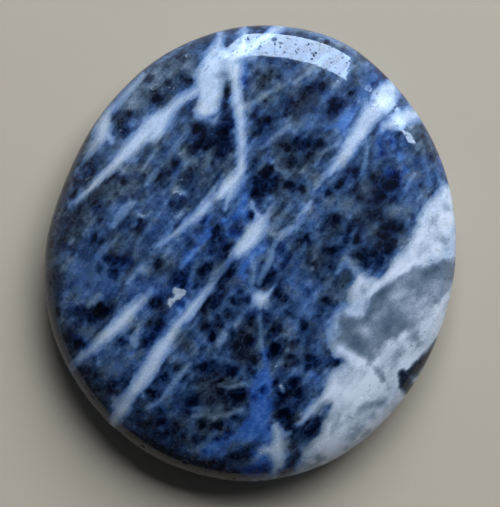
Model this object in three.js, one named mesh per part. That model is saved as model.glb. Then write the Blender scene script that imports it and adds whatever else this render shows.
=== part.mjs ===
// A palm stone of sodalite, ground by hand to an uneven oval and polished all over.
//
// It is one solid piece of rock. A low crown rolls over a rounded edge to the girdle, where
// the outline is widest, and the underside rolls in again to the small flat spot it rests on.
// Units are millimetres, +Z is up and the origin is the middle of the flat spot. The stone is
// longest along Y.

import * as THREE from 'three';

// Driving dimensions.
const THICKNESS = 11; // flat spot to the top of the crown
const GIRDLE_HEIGHT = 4.8; // flat spot to the widest level
const FLAT_SHARE = 0.5; // half-width of the flat spot as a share of the stone's half-width

// Half-widths of the outline from the middle, anticlockwise from +X in equal steps.
const HALF_WIDTHS = [
  24.3, 25.0, 26.0, 27.3,
  26.95, 25.65, 24.2, 23.45,
  24.2, 25.05, 25.8, 26.6,
  26.85, 26.2, 24.95, 24.2,
];
const MEAN_HALF_WIDTH = HALF_WIDTHS.reduce((sum, half) => sum + half, 0) / HALF_WIDTHS.length;

// How the two sides roll from flat to upright. The first number of each pair keeps the middle
// flat for longer as it grows, and the second makes the edge fuller.
const CROWN_ROLL = [3.0, 2.2];
const UNDERSIDE_ROLL = [1.8, 2.0];

// What hand grinding leaves: the girdle climbs towards one side, and the crown is a little wavy.
const GIRDLE_CLIMB = 0.45;
const GIRDLE_CLIMB_TOWARDS = THREE.MathUtils.degToRad(35);
const CROWN_WAVE = 0.11;
const CROWN_WAVE_LENGTH = { x: 58, y: 71 };

// How finely the solid is divided.
const SEGMENTS = 112;
const RINGS = 34;
const CURVE_SAMPLES = 60;

// Height over the flat spot at a share of the half-width, on either side of the girdle.
function crownHeight(share) {
  const [flatness, fullness] = CROWN_ROLL;
  const rise = THICKNESS - GIRDLE_HEIGHT;
  return GIRDLE_HEIGHT + rise * (1 - share ** flatness) ** (1 / fullness);
}

function undersideHeight(share) {
  const [flatness, fullness] = UNDERSIDE_ROLL;
  const beyondFlat = (share - FLAT_SHARE) / (1 - FLAT_SHARE);
  return GIRDLE_HEIGHT * (1 - (1 - beyondFlat ** flatness) ** (1 / fullness));
}

// Half the stone's cross-section, from the middle of the flat spot to the top of the crown,
// with evenly spaced points past the flat spot.
function crossSection() {
  const quarterTurn = Array.from(
    { length: CURVE_SAMPLES + 1 },
    (_, i) => (i / CURVE_SAMPLES) * (Math.PI / 2),
  );
  const underside = quarterTurn.map((angle) => {
    const share = FLAT_SHARE + (1 - FLAT_SHARE) * Math.sin(angle);
    return new THREE.Vector2(share * MEAN_HALF_WIDTH, undersideHeight(share));
  });
  const crown = quarterTurn.slice(1).map((angle) => {
    const share = Math.cos(angle);
    return new THREE.Vector2(share * MEAN_HALF_WIDTH, crownHeight(share));
  });
  const rolled = new THREE.SplineCurve([...underside, ...crown]).getSpacedPoints(RINGS);
  rolled[0].y = 0;
  rolled[RINGS].x = 0;
  return [new THREE.Vector2(0, 0), ...rolled];
}

// The outline seen from above, as a smooth closed curve through the half-widths.
function outlineCurve() {
  const corners = HALF_WIDTHS.map((half, i) => {
    const angle = (i / HALF_WIDTHS.length) * 2 * Math.PI;
    return new THREE.Vector3(half * Math.cos(angle), half * Math.sin(angle), 0);
  });
  return new THREE.CatmullRomCurve3(corners, true, 'centripetal');
}

// How far the hand-ground surface stands off the regular one. The flat spot stays flat.
function unevenness(x, y, share, onCrown) {
  const climbing = THREE.MathUtils.smoothstep(share, FLAT_SHARE, 1);
  const climb = GIRDLE_CLIMB * climbing * Math.cos(Math.atan2(y, x) - GIRDLE_CLIMB_TOWARDS);
  const across = (2 * Math.PI * x) / CROWN_WAVE_LENGTH.x;
  const along = (2 * Math.PI * y) / CROWN_WAVE_LENGTH.y;
  const wave = CROWN_WAVE * (1 - share ** 2) * (Math.sin(2 * across) + Math.cos(3 * along));
  return onCrown ? climb + wave : climb;
}

// The regular solid is turned on a lathe, then each of its rings takes the outline's shape.
function stoneGeometry() {
  const section = crossSection();
  const outline = outlineCurve();
  const geometry = new THREE.LatheGeometry(section, SEGMENTS);
  geometry.deleteAttribute('uv');
  const position = geometry.getAttribute('position');
  for (let i = 0; i < position.count; i++) {
    const { x: radius, y: height } = section[i % section.length];
    const rim = outline.getPoint((Math.floor(i / section.length) % SEGMENTS) / SEGMENTS);
    const share = radius / MEAN_HALF_WIDTH;
    const x = rim.x * share;
    const y = rim.y * share;
    position.setXYZ(i, x, y, height + unevenness(x, y, share, height > GIRDLE_HEIGHT));
  }
  geometry.computeBoundingBox();
  const middle = geometry.boundingBox.getCenter(new THREE.Vector3());
  geometry.translate(-middle.x, -middle.y, 0);
  geometry.computeVertexNormals();
  return geometry;
}

const polishedSodalite = new THREE.MeshStandardMaterial({
  name: 'polished_sodalite',
  color: 0x2f4468,
  roughness: 0.18,
  metalness: 0,
});

const stone = new THREE.Mesh(stoneGeometry(), polishedSodalite);
stone.name = 'sodalite_stone';

const palmStone = new THREE.Group();
palmStone.add(stone);

export default palmStone;
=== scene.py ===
"""A palm stone of polished sodalite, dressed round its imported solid.

Navy and slate-blue rock, royal-blue streaks, white calcite veins and one white end with a grey heart.
Places on the stone are in millimetres, with X across it and Y along it, as seen from above.
"""

import math
from functools import reduce

import bmesh
import bpy
import numpy as np
from bpy.props import FloatProperty, FloatVectorProperty, IntProperty, PointerProperty
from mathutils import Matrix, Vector, noise


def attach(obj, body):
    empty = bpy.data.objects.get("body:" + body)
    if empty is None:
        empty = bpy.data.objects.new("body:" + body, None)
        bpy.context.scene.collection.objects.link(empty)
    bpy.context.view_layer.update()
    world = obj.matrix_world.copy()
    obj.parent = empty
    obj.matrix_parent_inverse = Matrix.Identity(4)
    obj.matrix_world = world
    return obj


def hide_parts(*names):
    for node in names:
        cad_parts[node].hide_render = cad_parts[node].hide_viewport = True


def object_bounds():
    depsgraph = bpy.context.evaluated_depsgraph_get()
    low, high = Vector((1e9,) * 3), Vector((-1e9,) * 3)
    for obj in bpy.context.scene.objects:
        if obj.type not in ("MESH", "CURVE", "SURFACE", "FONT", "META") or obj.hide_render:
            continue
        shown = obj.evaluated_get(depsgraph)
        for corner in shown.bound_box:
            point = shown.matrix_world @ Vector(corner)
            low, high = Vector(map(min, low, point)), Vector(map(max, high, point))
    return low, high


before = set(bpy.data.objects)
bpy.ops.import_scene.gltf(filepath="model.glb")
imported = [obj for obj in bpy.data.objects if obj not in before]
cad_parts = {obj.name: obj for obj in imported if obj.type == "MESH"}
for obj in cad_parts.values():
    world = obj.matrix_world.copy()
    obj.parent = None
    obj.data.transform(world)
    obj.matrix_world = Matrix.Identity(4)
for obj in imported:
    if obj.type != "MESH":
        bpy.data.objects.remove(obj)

bl_info = {
    "name": "Polished Sodalite Palm Stone",
    "version": (1, 0, 0),
    "blender": (4, 5, 0),
    "location": "3D View > Sidebar > Palm Stone",
    "description": "Makes a polished sodalite palm stone and the studio floor that it lies on",
    "category": "Object",
}

MM = 0.001
GIRDLE_LEVEL = 4.8 * MM
STONE_NODE = "sodalite_stone"
STONE_BODY = "root"
CAD_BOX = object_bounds()

# Where each kind of marking comes to the surface. A stroke is a run of points, each with its place
# and its half-width, and a single point is a spot. A patch is the corners of an area. Both may run
# past the edge of the stone.
WHITE_VEINS = (
    # The long vein from the lower left to the middle.
    (
        (-16.3, -20.2, 0.4), (-15.8, -19.3, 0.62), (-15.1, -18.2, 0.82), (-14.4, -17.2, 0.82),
        (-13.6, -16.1, 0.7), (-12.75, -15.0, 0.8), (-12.0, -14.0, 0.96), (-11.35, -13.0, 1.02),
        (-10.85, -12.0, 0.98), (-10.2, -11.0, 0.84), (-9.5, -10.0, 0.66), (-8.8, -9.0, 0.52),
        (-8.1, -8.0, 0.5), (-7.5, -7.4, 0.54), (-6.9, -6.8, 0.56), (-6.4, -6.0, 0.52), (-5.8, -5.2, 0.5),
        (-5.2, -4.4, 0.42), (-4.7, -3.8, 0.32), (-4.1, -3.0, 0.18), (-3.3, -2.1, 0.06),
        (-2.6, -1.2, 0.04), (-2.0, -0.4, 0.16),
    ),
    # The knot in the middle.
    (
        (1.4, 4.0, 0.7), (1.1, 3.3, 0.88), (0.6, 2.4, 0.98), (0.0, 1.7, 0.98), (-0.6, 1.0, 0.84),
        (-1.2, 0.4, 0.58), (-1.7, -0.1, 0.34),
    ),
    ((1.2, 4.0, 0.5), (0.6, 4.9, 0.32), (0.3, 5.7, 0.2), (0.0, 6.5, 0.02)),
    ((1.6, 4.0, 0.5), (2.3, 4.8, 0.28), (2.8, 5.5, 0.12), (3.1, 6.0, 0.02)),
    (
        (3.6, 2.1, 0.16), (4.2, 2.6, 0.26), (4.9, 3.1, 0.24), (5.5, 3.7, 0.08), (6.1, 4.6, 0.1),
        (6.6, 5.3, 0.24), (7.0, 6.1, 0.06),
    ),
    # The vein of the lower left rim.
    (
        (-12.4, -5.2, 0.36), (-13.4, -6.3, 0.56), (-14.4, -7.3, 0.74), (-15.4, -8.3, 0.84),
        (-16.4, -9.3, 0.78), (-17.3, -10.1, 0.56), (-18.2, -11.0, 0.44), (-19.2, -11.8, 0.4),
        (-20.1, -12.5, 0.3),
    ),
    # The upright vein from the top, and its long thin foot.
    (
        (-1.7, 21.6, 0.8), (-1.75, 20.2, 0.62), (-1.6, 19.0, 0.68), (-1.5, 17.9, 0.72),
        (-1.25, 16.8, 0.72), (-1.15, 15.6, 0.58), (-1.0, 14.4, 0.5), (-0.85, 13.4, 0.58),
        (-0.95, 12.2, 0.56), (-1.05, 11.0, 0.6), (-1.0, 10.0, 0.58), (-1.2, 9.2, 0.54), (-1.9, 8.4, 0.72),
        (-2.7, 7.6, 0.86), (-3.4, 6.8, 0.68), (-4.2, 6.2, 0.42), (-5.0, 5.6, 0.42), (-6.0, 4.65, 0.44),
        (-7.0, 3.7, 0.38), (-8.0, 2.95, 0.3), (-9.0, 2.15, 0.28), (-9.8, 1.6, 0.22), (-10.6, 1.0, 0.08),
    ),
    ((-2.0, 7.9, 0.6), (-2.3, 6.9, 0.45), (-2.6, 5.9, 0.25), (-2.9, 5.2, 0.12)),
    # The slanting vein of the upper left, with its lobe.
    (
        (-6.2, 18.9, 0.55), (-7.2, 18.4, 0.62), (-8.2, 17.7, 0.64), (-9.2, 16.7, 0.52),
        (-10.4, 15.5, 1.02), (-11.4, 14.8, 1.12), (-12.4, 13.9, 0.95), (-13.3, 12.9, 0.86),
        (-14.2, 12.0, 0.84), (-15.1, 11.1, 0.8), (-15.9, 10.2, 0.62), (-16.7, 9.4, 0.46),
        (-17.5, 8.6, 0.4), (-18.3, 7.8, 0.4), (-19.0, 7.2, 0.3), (-19.7, 6.6, 0.2), (-20.3, 6.0, 0.08),
    ),
    ((-10.4, 15.2, 0.8), (-10.6, 14.3, 0.84), (-11.4, 13.5, 0.66), (-12.2, 13.1, 0.4)),
    # Along the upper left rim.
    (
        (-15.9, 17.3, 0.24), (-16.5, 16.5, 0.4), (-17.0, 15.5, 0.74), (-17.2, 14.6, 0.96),
        (-17.4, 13.8, 0.84), (-18.0, 12.9, 0.42), (-18.6, 12.1, 0.24), (-19.3, 11.1, 0.1),
    ),
    ((-17.0, 14.0, 0.5), (-16.4, 13.4, 0.4), (-16.1, 13.0, 0.14)),
    (
        (-16.5, 16.3, 0.24), (-15.6, 17.4, 0.24), (-14.4, 18.8, 0.2), (-13.2, 20.1, 0.12),
        (-12.4, 20.9, 0.02),
    ),
    # The slanting vein of the upper right, and its branch.
    (
        (9.3, 9.4, 0.3), (9.8, 10.1, 0.52), (10.7, 11.1, 0.66), (11.3, 12.0, 0.78), (11.9, 13.1, 0.88),
        (12.7, 14.1, 0.98), (13.3, 15.1, 1.04), (14.05, 16.0, 1.12), (14.8, 16.9, 1.12),
        (15.5, 17.8, 1.3), (16.1, 18.8, 1.3), (16.6, 19.8, 0.8), (17.4, 21.2, 0.4),
    ),
    (
        (15.7, 14.9, 0.4), (16.3, 15.0, 0.66), (17.2, 15.5, 1.0), (18.2, 15.9, 1.05), (19.2, 16.3, 0.85),
        (20.6, 16.8, 0.6),
    ),
    # The top edge, right of the notch.
    (
        (-0.6, 23.3, 0.46), (0.3, 24.0, 0.42), (1.2, 24.8, 0.38), (2.1, 25.5, 0.42), (3.0, 26.2, 0.6),
        (4.0, 27.2, 0.8),
    ),
    # The bottom edge.
    (
        (2.9, -20.1, 0.36), (3.2, -20.9, 0.66), (3.2, -22.0, 0.82), (3.0, -22.8, 1.05), (3.3, -23.6, 1.0),
        (3.3, -24.4, 0.8), (2.9, -25.3, 0.5),
    ),
    ((2.6, -22.7, 0.6), (1.8, -22.8, 0.42), (1.2, -23.0, 0.2)),
)
WHITE_PATCHES = (
    # The mass at the top.
    (
        (-4.1, 29.0), (-4.0, 26.3), (-3.9, 25.4), (-4.3, 24.6), (-4.9, 23.8), (-5.3, 23.0), (-5.7, 22.2),
        (-6.2, 21.4), (-6.4, 20.5), (-6.3, 19.6), (-6.2, 18.4), (-6.3, 17.6), (-6.5, 16.7), (-6.2, 15.9),
        (-5.2, 15.7), (-4.2, 15.9), (-3.6, 16.5), (-3.3, 17.8), (-3.2, 18.8), (-3.1, 19.8), (-3.0, 20.6),
        (-2.5, 20.0), (-2.3, 19.0), (-2.1, 17.8), (-1.4, 17.0), (-0.9, 17.6), (-0.9, 18.6), (-1.2, 19.6),
        (-1.5, 20.6), (-1.5, 21.6), (-1.1, 22.3), (-0.3, 22.9), (0.2, 23.5), (-0.2, 24.6), (-0.3, 29.0),
        (-1.1, 29.0), (-1.1, 25.2), (-1.5, 24.0), (-2.2, 23.5), (-2.9, 24.1), (-3.2, 25.2), (-3.3, 29.0),
    ),
    # The wedge under the knot.
    (
        (0.0, -3.6), (0.2, -5.0), (0.6, -5.8), (1.1, -6.4), (1.5, -6.1), (2.1, -5.7), (2.6, -4.9),
        (3.1, -3.6), (2.5, -3.8), (1.8, -4.3), (0.9, -4.1),
    ),
    # The white end of the stone.
    (
        (29.0, 10.5), (23.4, 8.4), (22.3, 7.9), (21.8, 7.3), (21.0, 6.7), (20.3, 6.1), (19.9, 5.4),
        (19.6, 4.6), (19.2, 4.0), (19.0, 3.2), (18.8, 2.4), (18.4, 1.6), (17.9, 0.6), (17.1, -0.2),
        (16.4, -1.0), (15.9, -1.8), (15.5, -2.5), (15.0, -2.9), (14.2, -2.7), (13.6, -2.5), (12.8, -2.1),
        (12.2, -2.3), (12.1, -2.9), (11.8, -3.8), (11.4, -4.4), (11.2, -5.2), (11.2, -5.9), (10.6, -6.2),
        (9.9, -6.6), (9.4, -7.2), (9.2, -8.0), (9.0, -9.0), (8.8, -10.0), (9.0, -10.8), (9.3, -11.5),
        (9.8, -12.0), (10.8, -12.2), (11.1, -12.6), (10.4, -13.1), (9.5, -13.6), (9.1, -14.5),
        (8.9, -15.2), (8.7, -15.8), (8.2, -16.5), (7.4, -17.1), (6.7, -17.8), (6.3, -18.6), (5.7, -19.4),
        (5.1, -20.1), (6.3, -19.9), (7.3, -19.0), (8.0, -18.3), (8.6, -17.8), (9.2, -17.3), (9.4, -17.2),
        (9.5, -17.9), (9.1, -18.7), (8.5, -19.3), (8.5, -20.1), (8.2, -21.0), (7.6, -21.6), (6.8, -22.2),
        (6.2, -22.6), (5.8, -23.0), (5.8, -23.8), (5.6, -24.6), (5.2, -25.2), (4.8, -26.2), (4.4, -31.0),
        (18.0, -29.0), (31.0, -14.0),
    ),
)
GREY_PATCHES = (
    # The grey heart of the white end.
    (
        (28.0, -0.6), (24.0, -0.6), (22.6, -0.7), (21.4, -1.3), (20.6, -1.6), (19.6, -1.3), (18.8, -1.4),
        (18.4, -1.9), (17.6, -2.2), (16.8, -2.7), (16.1, -3.3), (15.4, -3.8), (14.8, -4.2), (14.2, -4.6),
        (14.2, -5.2), (13.8, -6.0), (13.3, -6.8), (12.6, -7.3), (11.8, -7.1), (11.0, -7.1), (10.2, -7.3),
        (9.7, -7.7), (10.0, -8.2), (10.5, -8.5), (10.2, -9.2), (9.9, -9.8), (10.3, -10.4), (11.2, -10.8),
        (12.0, -11.4), (12.8, -12.1), (13.8, -12.7), (14.4, -12.4), (14.7, -11.8), (15.4, -11.0),
        (16.2, -10.1), (17.4, -9.8), (18.0, -9.1), (19.3, -8.9), (19.8, -8.0), (20.0, -6.9), (20.5, -6.5),
        (21.2, -6.1), (22.2, -5.6), (22.9, -4.8), (23.4, -3.6), (28.0, -2.6),
    ),
)
GREY_STROKES = (
    # Grey seams in the white end.
    (
        (13.9, -12.9, 0.1), (14.6, -13.4, 0.1), (15.2, -14.2, 0.16), (15.8, -14.9, 0.12),
        (16.2, -15.5, 0.06),
    ),
)
PALE_VEINS_AND_SHEEN = (
    # Where the veins thin out or run on, and a painted sheen along the top rim.
    ((-4.15, -3.0, 0.34), (-3.35, -2.0, 0.32), (-2.5, -1.0, 0.26), (-2.0, -0.3, 0.24)),
    ((2.6, 2.2, 0.2), (3.6, 2.2, 0.3), (4.6, 2.9, 0.3)),
    ((5.4, 3.4, 0.16), (6.1, 4.5, 0.2), (6.6, 5.4, 0.3)), ((-11.4, -4.2, 0.26), (-12.4, -5.2, 0.36)),
    ((-19.2, -11.8, 0.4), (-20.1, -12.6, 0.4), (-21.0, -13.4, 0.36), (-22.6, -15.2, 0.3)),
    (
        (-12.5, 20.8, 0.3), (-13.5, 19.8, 0.38), (-14.7, 18.4, 0.44), (-15.6, 17.3, 0.5),
        (-16.4, 16.4, 0.42),
    ),
    ((-18.0, 12.5, 0.35), (-18.8, 11.5, 0.25), (-19.6, 10.5, 0.16), (-20.2, 9.6, 0.1)),
    ((7.4, 7.2, 0.1), (7.8, 8.1, 0.24), (8.6, 9.0, 0.3), (9.4, 9.7, 0.3)),
    # The grey prong over the white end.
    ((10.1, -2.1, 0.2), (10.6, -1.4, 0.3), (11.2, -0.7, 0.36), (11.7, -1.3, 0.3), (12.3, -2.1, 0.3)),
    # The pale side of the white vein at the bottom.
    ((4.0, -21.1, 0.4), (4.6, -21.0, 0.2)), ((4.1, -22.2, 0.3), (4.1, -23.4, 0.3)),
    # Hairlines.
    ((5.0, 19.7, 0.14), (6.4, 20.8, 0.2), (7.8, 22.0, 0.26), (9.0, 23.0, 0.26)),
    ((9.6, 19.4, 0.16), (10.3, 20.1, 0.2), (11.2, 21.1, 0.22), (12.0, 21.9, 0.2)),
    (
        (-0.4, 16.6, 0.4), (0.6, 17.6, 0.34), (1.6, 18.3, 0.26), (2.6, 19.0, 0.24), (3.4, 19.5, 0.26),
        (3.9, 19.6, 0.14),
    ),
    ((1.4, 12.2, 0.14), (2.4, 13.1, 0.24), (3.6, 14.2, 0.26), (4.6, 14.8, 0.2)),
    ((13.5, 13.4, 0.12), (13.6, 12.0, 0.17), (13.4, 10.4, 0.17), (12.9, 9.0, 0.12)),
    ((18.1, 7.6, 0.12), (18.6, 8.5, 0.2), (19.1, 9.4, 0.14)),
    ((7.6, 10.3, 0.06), (8.3, 11.3, 0.08), (8.9, 11.9, 0.1), (9.5, 12.3, 0.12), (10.2, 12.6, 0.2)),
    ((2.9, 9.9, 0.06), (3.6, 9.5, 0.12), (4.2, 9.3, 0.06)),
    ((-15.9, 3.2, 0.2), (-15.2, 4.2, 0.38), (-14.2, 5.2, 0.38), (-13.4, 5.9, 0.2)),
    ((-12.0, 8.0, 0.2), (-11.4, 8.9, 0.36), (-10.8, 9.8, 0.24)), ((-13.6, 3.1, 0.12), (-13.2, 3.5, 0.14)),
    ((-13.0, 4.5, 0.1), (-12.3, 4.2, 0.12)),
    ((-9.0, 7.2, 0.1), (-8.3, 7.5, 0.14), (-7.7, 7.0, 0.1), (-7.2, 6.6, 0.08)),
    ((-20.9, 1.2, 0.2), (-20.6, 1.5, 0.16)), ((-0.8, 22.3, 0.4), (0.2, 22.8, 0.3)),
    ((-14.3, -3.2, 0.14), (-13.5, -2.6, 0.18)),
    ((-18.7, -6.0, 0.22), (-18.0, -5.5, 0.36), (-17.3, -5.0, 0.36)),
    ((-13.0, -8.8, 0.2), (-13.5, -9.8, 0.4), (-13.3, -10.6, 0.2)),
    (
        (3.0, 1.6, 0.2), (2.6, 0.6, 0.2), (2.4, -0.4, 0.22), (1.9, -1.2, 0.22), (1.4, -2.4, 0.2),
        (1.0, -3.4, 0.2),
    ),
    ((0.4, -0.3, 0.2), (0.3, -1.2, 0.26), (0.4, -2.2, 0.14), (0.3, -3.4, 0.14)),
    ((-4.6, 2.2, 0.14), (-5.6, 1.0, 0.2), (-6.4, 0.2, 0.2), (-7.2, -0.8, 0.2), (-8.0, -1.6, 0.14)),
    ((-3.7, -10.6, 0.24), (-3.4, -10.0, 0.3), (-3.0, -9.4, 0.22)),
    ((1.0, -7.3, 0.1), (1.2, -8.8, 0.12), (1.4, -10.4, 0.12), (1.6, -12.0, 0.12)),
    ((3.0, -10.0, 0.1), (4.0, -9.3, 0.12)), ((3.4, -12.6, 0.18),), ((4.4, -11.2, 0.2),),
    ((7.2, -1.7, 0.2),),
    (
        (-7.0, -12.8, 0.2), (-7.8, -13.9, 0.26), (-8.6, -14.9, 0.24), (-9.6, -16.0, 0.22),
        (-10.8, -17.4, 0.2), (-12.0, -18.0, 0.14),
    ),
    ((-13.2, -16.0, 0.16), (-12.6, -16.2, 0.18), (-12.5, -16.7, 0.12)),
    ((3.5, -15.2, 0.1), (3.7, -15.6, 0.2), (3.9, -16.0, 0.1)),
    ((-3.6, -15.3, 0.1), (-2.6, -15.5, 0.12), (-1.4, -15.3, 0.12), (-0.8, -15.2, 0.08)),
    (
        (-6.6, -19.0, 0.12), (-5.4, -18.8, 0.14), (-4.2, -18.9, 0.14), (-3.2, -18.8, 0.14),
        (-1.8, -18.5, 0.14), (-1.0, -18.2, 0.1),
    ),
    # Painted sheen along the top rim, where the scuffed polish catches the light.
    (
        (3.5, 26.6, 0.5), (5.2, 26.4, 0.5), (7.0, 26.0, 0.5), (9.0, 25.4, 0.36), (11.0, 24.5, 0.36),
        (12.2, 23.6, 0.3),
    ),
    ((9.8, 24.9, 0.3), (10.8, 24.4, 0.36)),
)
CLOUDY_STROKES = (
    # Pale places in the grey heart.
    ((16.4, -5.2, 0.1), (17.4, -4.7, 0.36), (18.4, -4.5, 0.2)),
    ((18.0, -6.6, 0.6), (19.2, -6.0, 0.9), (20.4, -5.4, 0.6)), ((21.6, -4.6, 0.4), (22.6, -3.6, 0.3)),
    ((18.4, -7.0, 0.3), (19.2, -7.4, 0.3)), ((12.6, -8.8, 0.14), (13.6, -9.0, 0.14)),
    ((14.6, -7.4, 0.2), (15.4, -6.8, 0.2)),
)
HAZE_STROKES = (
    # Drifts of a paler, greyer blue.
    ((-20.8, 1.6, 0.2), (-21.6, 0.3, 0.3), (-22.6, -0.9, 0.4), (-23.4, -1.6, 0.4)),
    ((2.0, 2.6, 0.35), (3.0, 3.6, 0.4), (4.0, 4.6, 0.26), (5.0, 5.6, 0.14)),
    ((-12.4, -5.2, 0.5), (-11.4, -4.2, 0.62), (-10.6, -3.4, 0.5), (-9.6, -2.4, 0.2)),
    ((7.8, 17.2, 0.25), (9.0, 18.2, 0.3), (9.9, 19.3, 0.3), (10.6, 20.0, 0.25)),
    (
        (3.0, 15.2, 0.25), (4.6, 15.1, 0.4), (6.0, 14.8, 0.45), (7.0, 14.6, 0.4), (8.6, 14.9, 0.4),
        (10.0, 15.1, 0.5),
    ),
    ((16.0, 12.4, 0.16), (15.2, 11.2, 0.18), (14.3, 10.0, 0.16)),
    ((-8.4, 13.4, 0.4), (-7.8, 14.4, 0.5), (-7.2, 15.2, 0.6), (-6.4, 15.6, 0.45)),
    ((-12.6, 11.9, 0.3), (-11.7, 12.6, 0.4)),
    ((-13.6, 11.6, 0.45), (-13.9, 10.0, 0.45), (-14.2, 8.6, 0.35)),
    ((-18.4, -1.2, 0.26), (-17.4, -0.1, 0.3), (-17.0, 0.4, 0.3), (-16.4, 1.4, 0.26)),
    (
        (-11.8, -6.2, 0.3), (-12.3, -7.6, 0.55), (-12.8, -9.0, 0.65), (-13.2, -10.2, 0.5),
        (-14.4, -11.2, 0.3),
    ),
    ((11.4, 23.2, 0.7), (12.4, 21.8, 1.15), (13.6, 20.6, 0.7), (13.2, 19.0, 0.3)),
    ((-6.6, 3.9, 0.4), (-5.6, 4.7, 0.5), (-4.8, 5.2, 0.4)),
    ((-9.8, 10.2, 0.3), (-9.2, 11.2, 0.5), (-8.6, 12.2, 0.3)),
    ((-15.0, 0.2, 0.4), (-14.4, 0.8, 0.6), (-13.6, 1.6, 0.4)),
    ((4.9, -3.2, 0.4), (5.5, -4.2, 0.7), (6.2, -5.4, 0.4)),
    ((0.2, 10.6, 0.4), (0.6, 12.0, 0.6), (0.6, 12.8, 0.4)),
    ((-4.8, 9.6, 0.2), (-4.9, 11.2, 0.3), (-4.6, 12.0, 0.2)),
    ((-15.6, 17.4, 0.4), (-14.6, 17.4, 0.5), (-13.6, 17.6, 0.4)),
    ((-20.6, -1.6, 0.3), (-19.6, -2.2, 0.5)), ((5.0, -11.4, 0.3), (6.2, -10.8, 0.4), (7.2, -10.8, 0.3)),
    ((4.6, 1.5, 0.3), (5.4, 2.3, 0.4)), ((15.8, 12.9, 0.3), (16.8, 12.2, 0.3)),
    ((19.4, 7.0, 0.4), (20.4, 8.0, 0.4)),
    ((-3.0, -9.4, 0.2), (-2.4, -8.4, 0.2), (-0.9, -7.0, 0.14), (0.0, -6.3, 0.1), (0.5, -5.6, 0.1)),
    (
        (-8.2, -14.2, 0.2), (-7.4, -13.5, 0.22), (-6.8, -12.9, 0.24), (-5.6, -12.2, 0.24),
        (-3.4, -11.9, 0.24),
    ),
    ((9.4, 5.9, 0.7), (10.6, 5.7, 0.95), (12.0, 5.5, 0.7)), ((11.6, 4.3, 0.24),),
    ((8.6, -18.2, 0.3), (9.0, -18.8, 0.3)), ((16.0, 5.0, 0.6), (17.2, 4.8, 0.7), (18.4, 5.4, 0.5)),
    ((-14.2, -2.7, 0.3), (-13.2, -2.4, 0.3), (-12.4, -2.2, 0.3)),
    ((-16.6, -13.6, 0.4), (-15.4, -13.4, 0.6), (-14.4, -12.8, 0.5), (-13.6, -11.8, 0.35)),
    ((0.3, -14.9, 0.4), (0.0, -14.2, 0.24)), ((2.0, -13.9, 0.3), (2.1, -15.0, 0.35), (2.0, -16.0, 0.2)),
    ((-4.2, -17.4, 0.4), (-3.3, -17.9, 0.5)), ((-6.0, -18.4, 0.4), (-5.2, -18.2, 0.36)),
    ((-5.6, -21.0, 0.1), (-4.2, -20.9, 0.12), (-3.2, -20.7, 0.12), (-2.8, -20.2, 0.08)),
    ((-7.0, -20.9, 0.2), (-7.2, -21.8, 0.26), (-7.6, -22.6, 0.3)), ((0.2, 19.6, 0.3), (-0.2, 18.5, 0.3)),
    ((-17.6, -16.6, 0.3), (-16.8, -16.0, 0.2)), ((-14.8, -19.8, 0.4), (-13.2, -20.9, 0.4)),
)
ROYAL_STROKES = (
    # The broad royal-blue band that runs down to the lower edge.
    (
        (1.5, -10.2, 0.1), (1.7, -12.2, 0.24), (1.7, -13.4, 0.5), (1.5, -14.8, 0.85), (1.4, -16.4, 1.3),
        (1.4, -17.8, 1.4), (1.2, -19.0, 1.45), (0.7, -20.0, 1.65), (0.1, -20.8, 1.45), (-1.2, -21.2, 0.7),
        (-2.4, -21.7, 0.6), (-3.4, -22.2, 0.7), (-4.4, -22.8, 0.8), (-5.4, -23.1, 0.6),
    ),
    ((1.9, -20.2, 0.9), (2.0, -21.4, 0.9), (1.7, -22.4, 0.6)),
    ((0.6, -23.2, 0.5), (1.6, -23.7, 0.8), (1.9, -24.5, 1.0), (0.8, -25.2, 1.0), (-0.2, -26.0, 0.8)),
    ((2.3, -14.8, 0.4), (2.2, -16.4, 0.5)), ((16.4, 9.4, 0.5), (17.3, 8.9, 0.4)),
    ((-14.2, -12.4, 0.2), (-13.4, -12.8, 0.4)),
    # Round the knot in the middle.
    ((-1.0, 8.4, 0.3), (-0.7, 7.4, 0.5), (-0.7, 6.4, 0.6), (-1.0, 5.2, 0.6), (-1.6, 4.2, 0.4)),
    ((-5.2, 3.6, 0.2), (-4.6, 4.3, 0.3), (-3.6, 4.6, 0.3)),
    ((1.5, 0.3, 0.45), (0.6, -0.1, 0.4), (-0.4, -1.0, 0.5), (-0.8, -2.2, 0.5), (-0.6, -3.2, 0.2)),
    ((-9.0, -7.2, 0.4), (-8.4, -6.6, 0.5), (-7.6, -5.6, 0.3)), ((-0.5, 4.6, 0.3), (-0.2, 3.8, 0.3)),
    ((-2.9, 3.9, 0.4), (-2.2, 2.6, 0.5), (-1.6, 1.8, 0.3)),
    ((-4.8, 2.8, 0.4), (-5.8, 1.4, 0.5), (-6.8, 0.0, 0.5), (-7.5, -1.2, 0.4)), ((-14.0, -11.8, 0.3),),
    ((6.8, -13.9, 0.2), (7.8, -14.6, 0.3)), ((14.8, -2.5, 0.1), (15.4, -2.3, 0.1)),
    # The upper right.
    ((9.2, 14.6, 0.4), (10.4, 15.0, 0.8), (11.4, 15.8, 0.6), (12.2, 16.8, 0.1)),
    ((15.6, 14.0, 0.3), (16.3, 13.0, 0.34), (17.1, 11.8, 0.36), (17.7, 10.6, 0.34), (18.1, 9.7, 0.2)),
    ((15.0, 12.9, 0.3), (15.2, 11.6, 0.3)),
    ((-0.8, 21.4, 0.2), (-0.8, 20.8, 0.3), (-0.9, 20.2, 0.3), (-0.5, 19.4, 0.2)),
)
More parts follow.
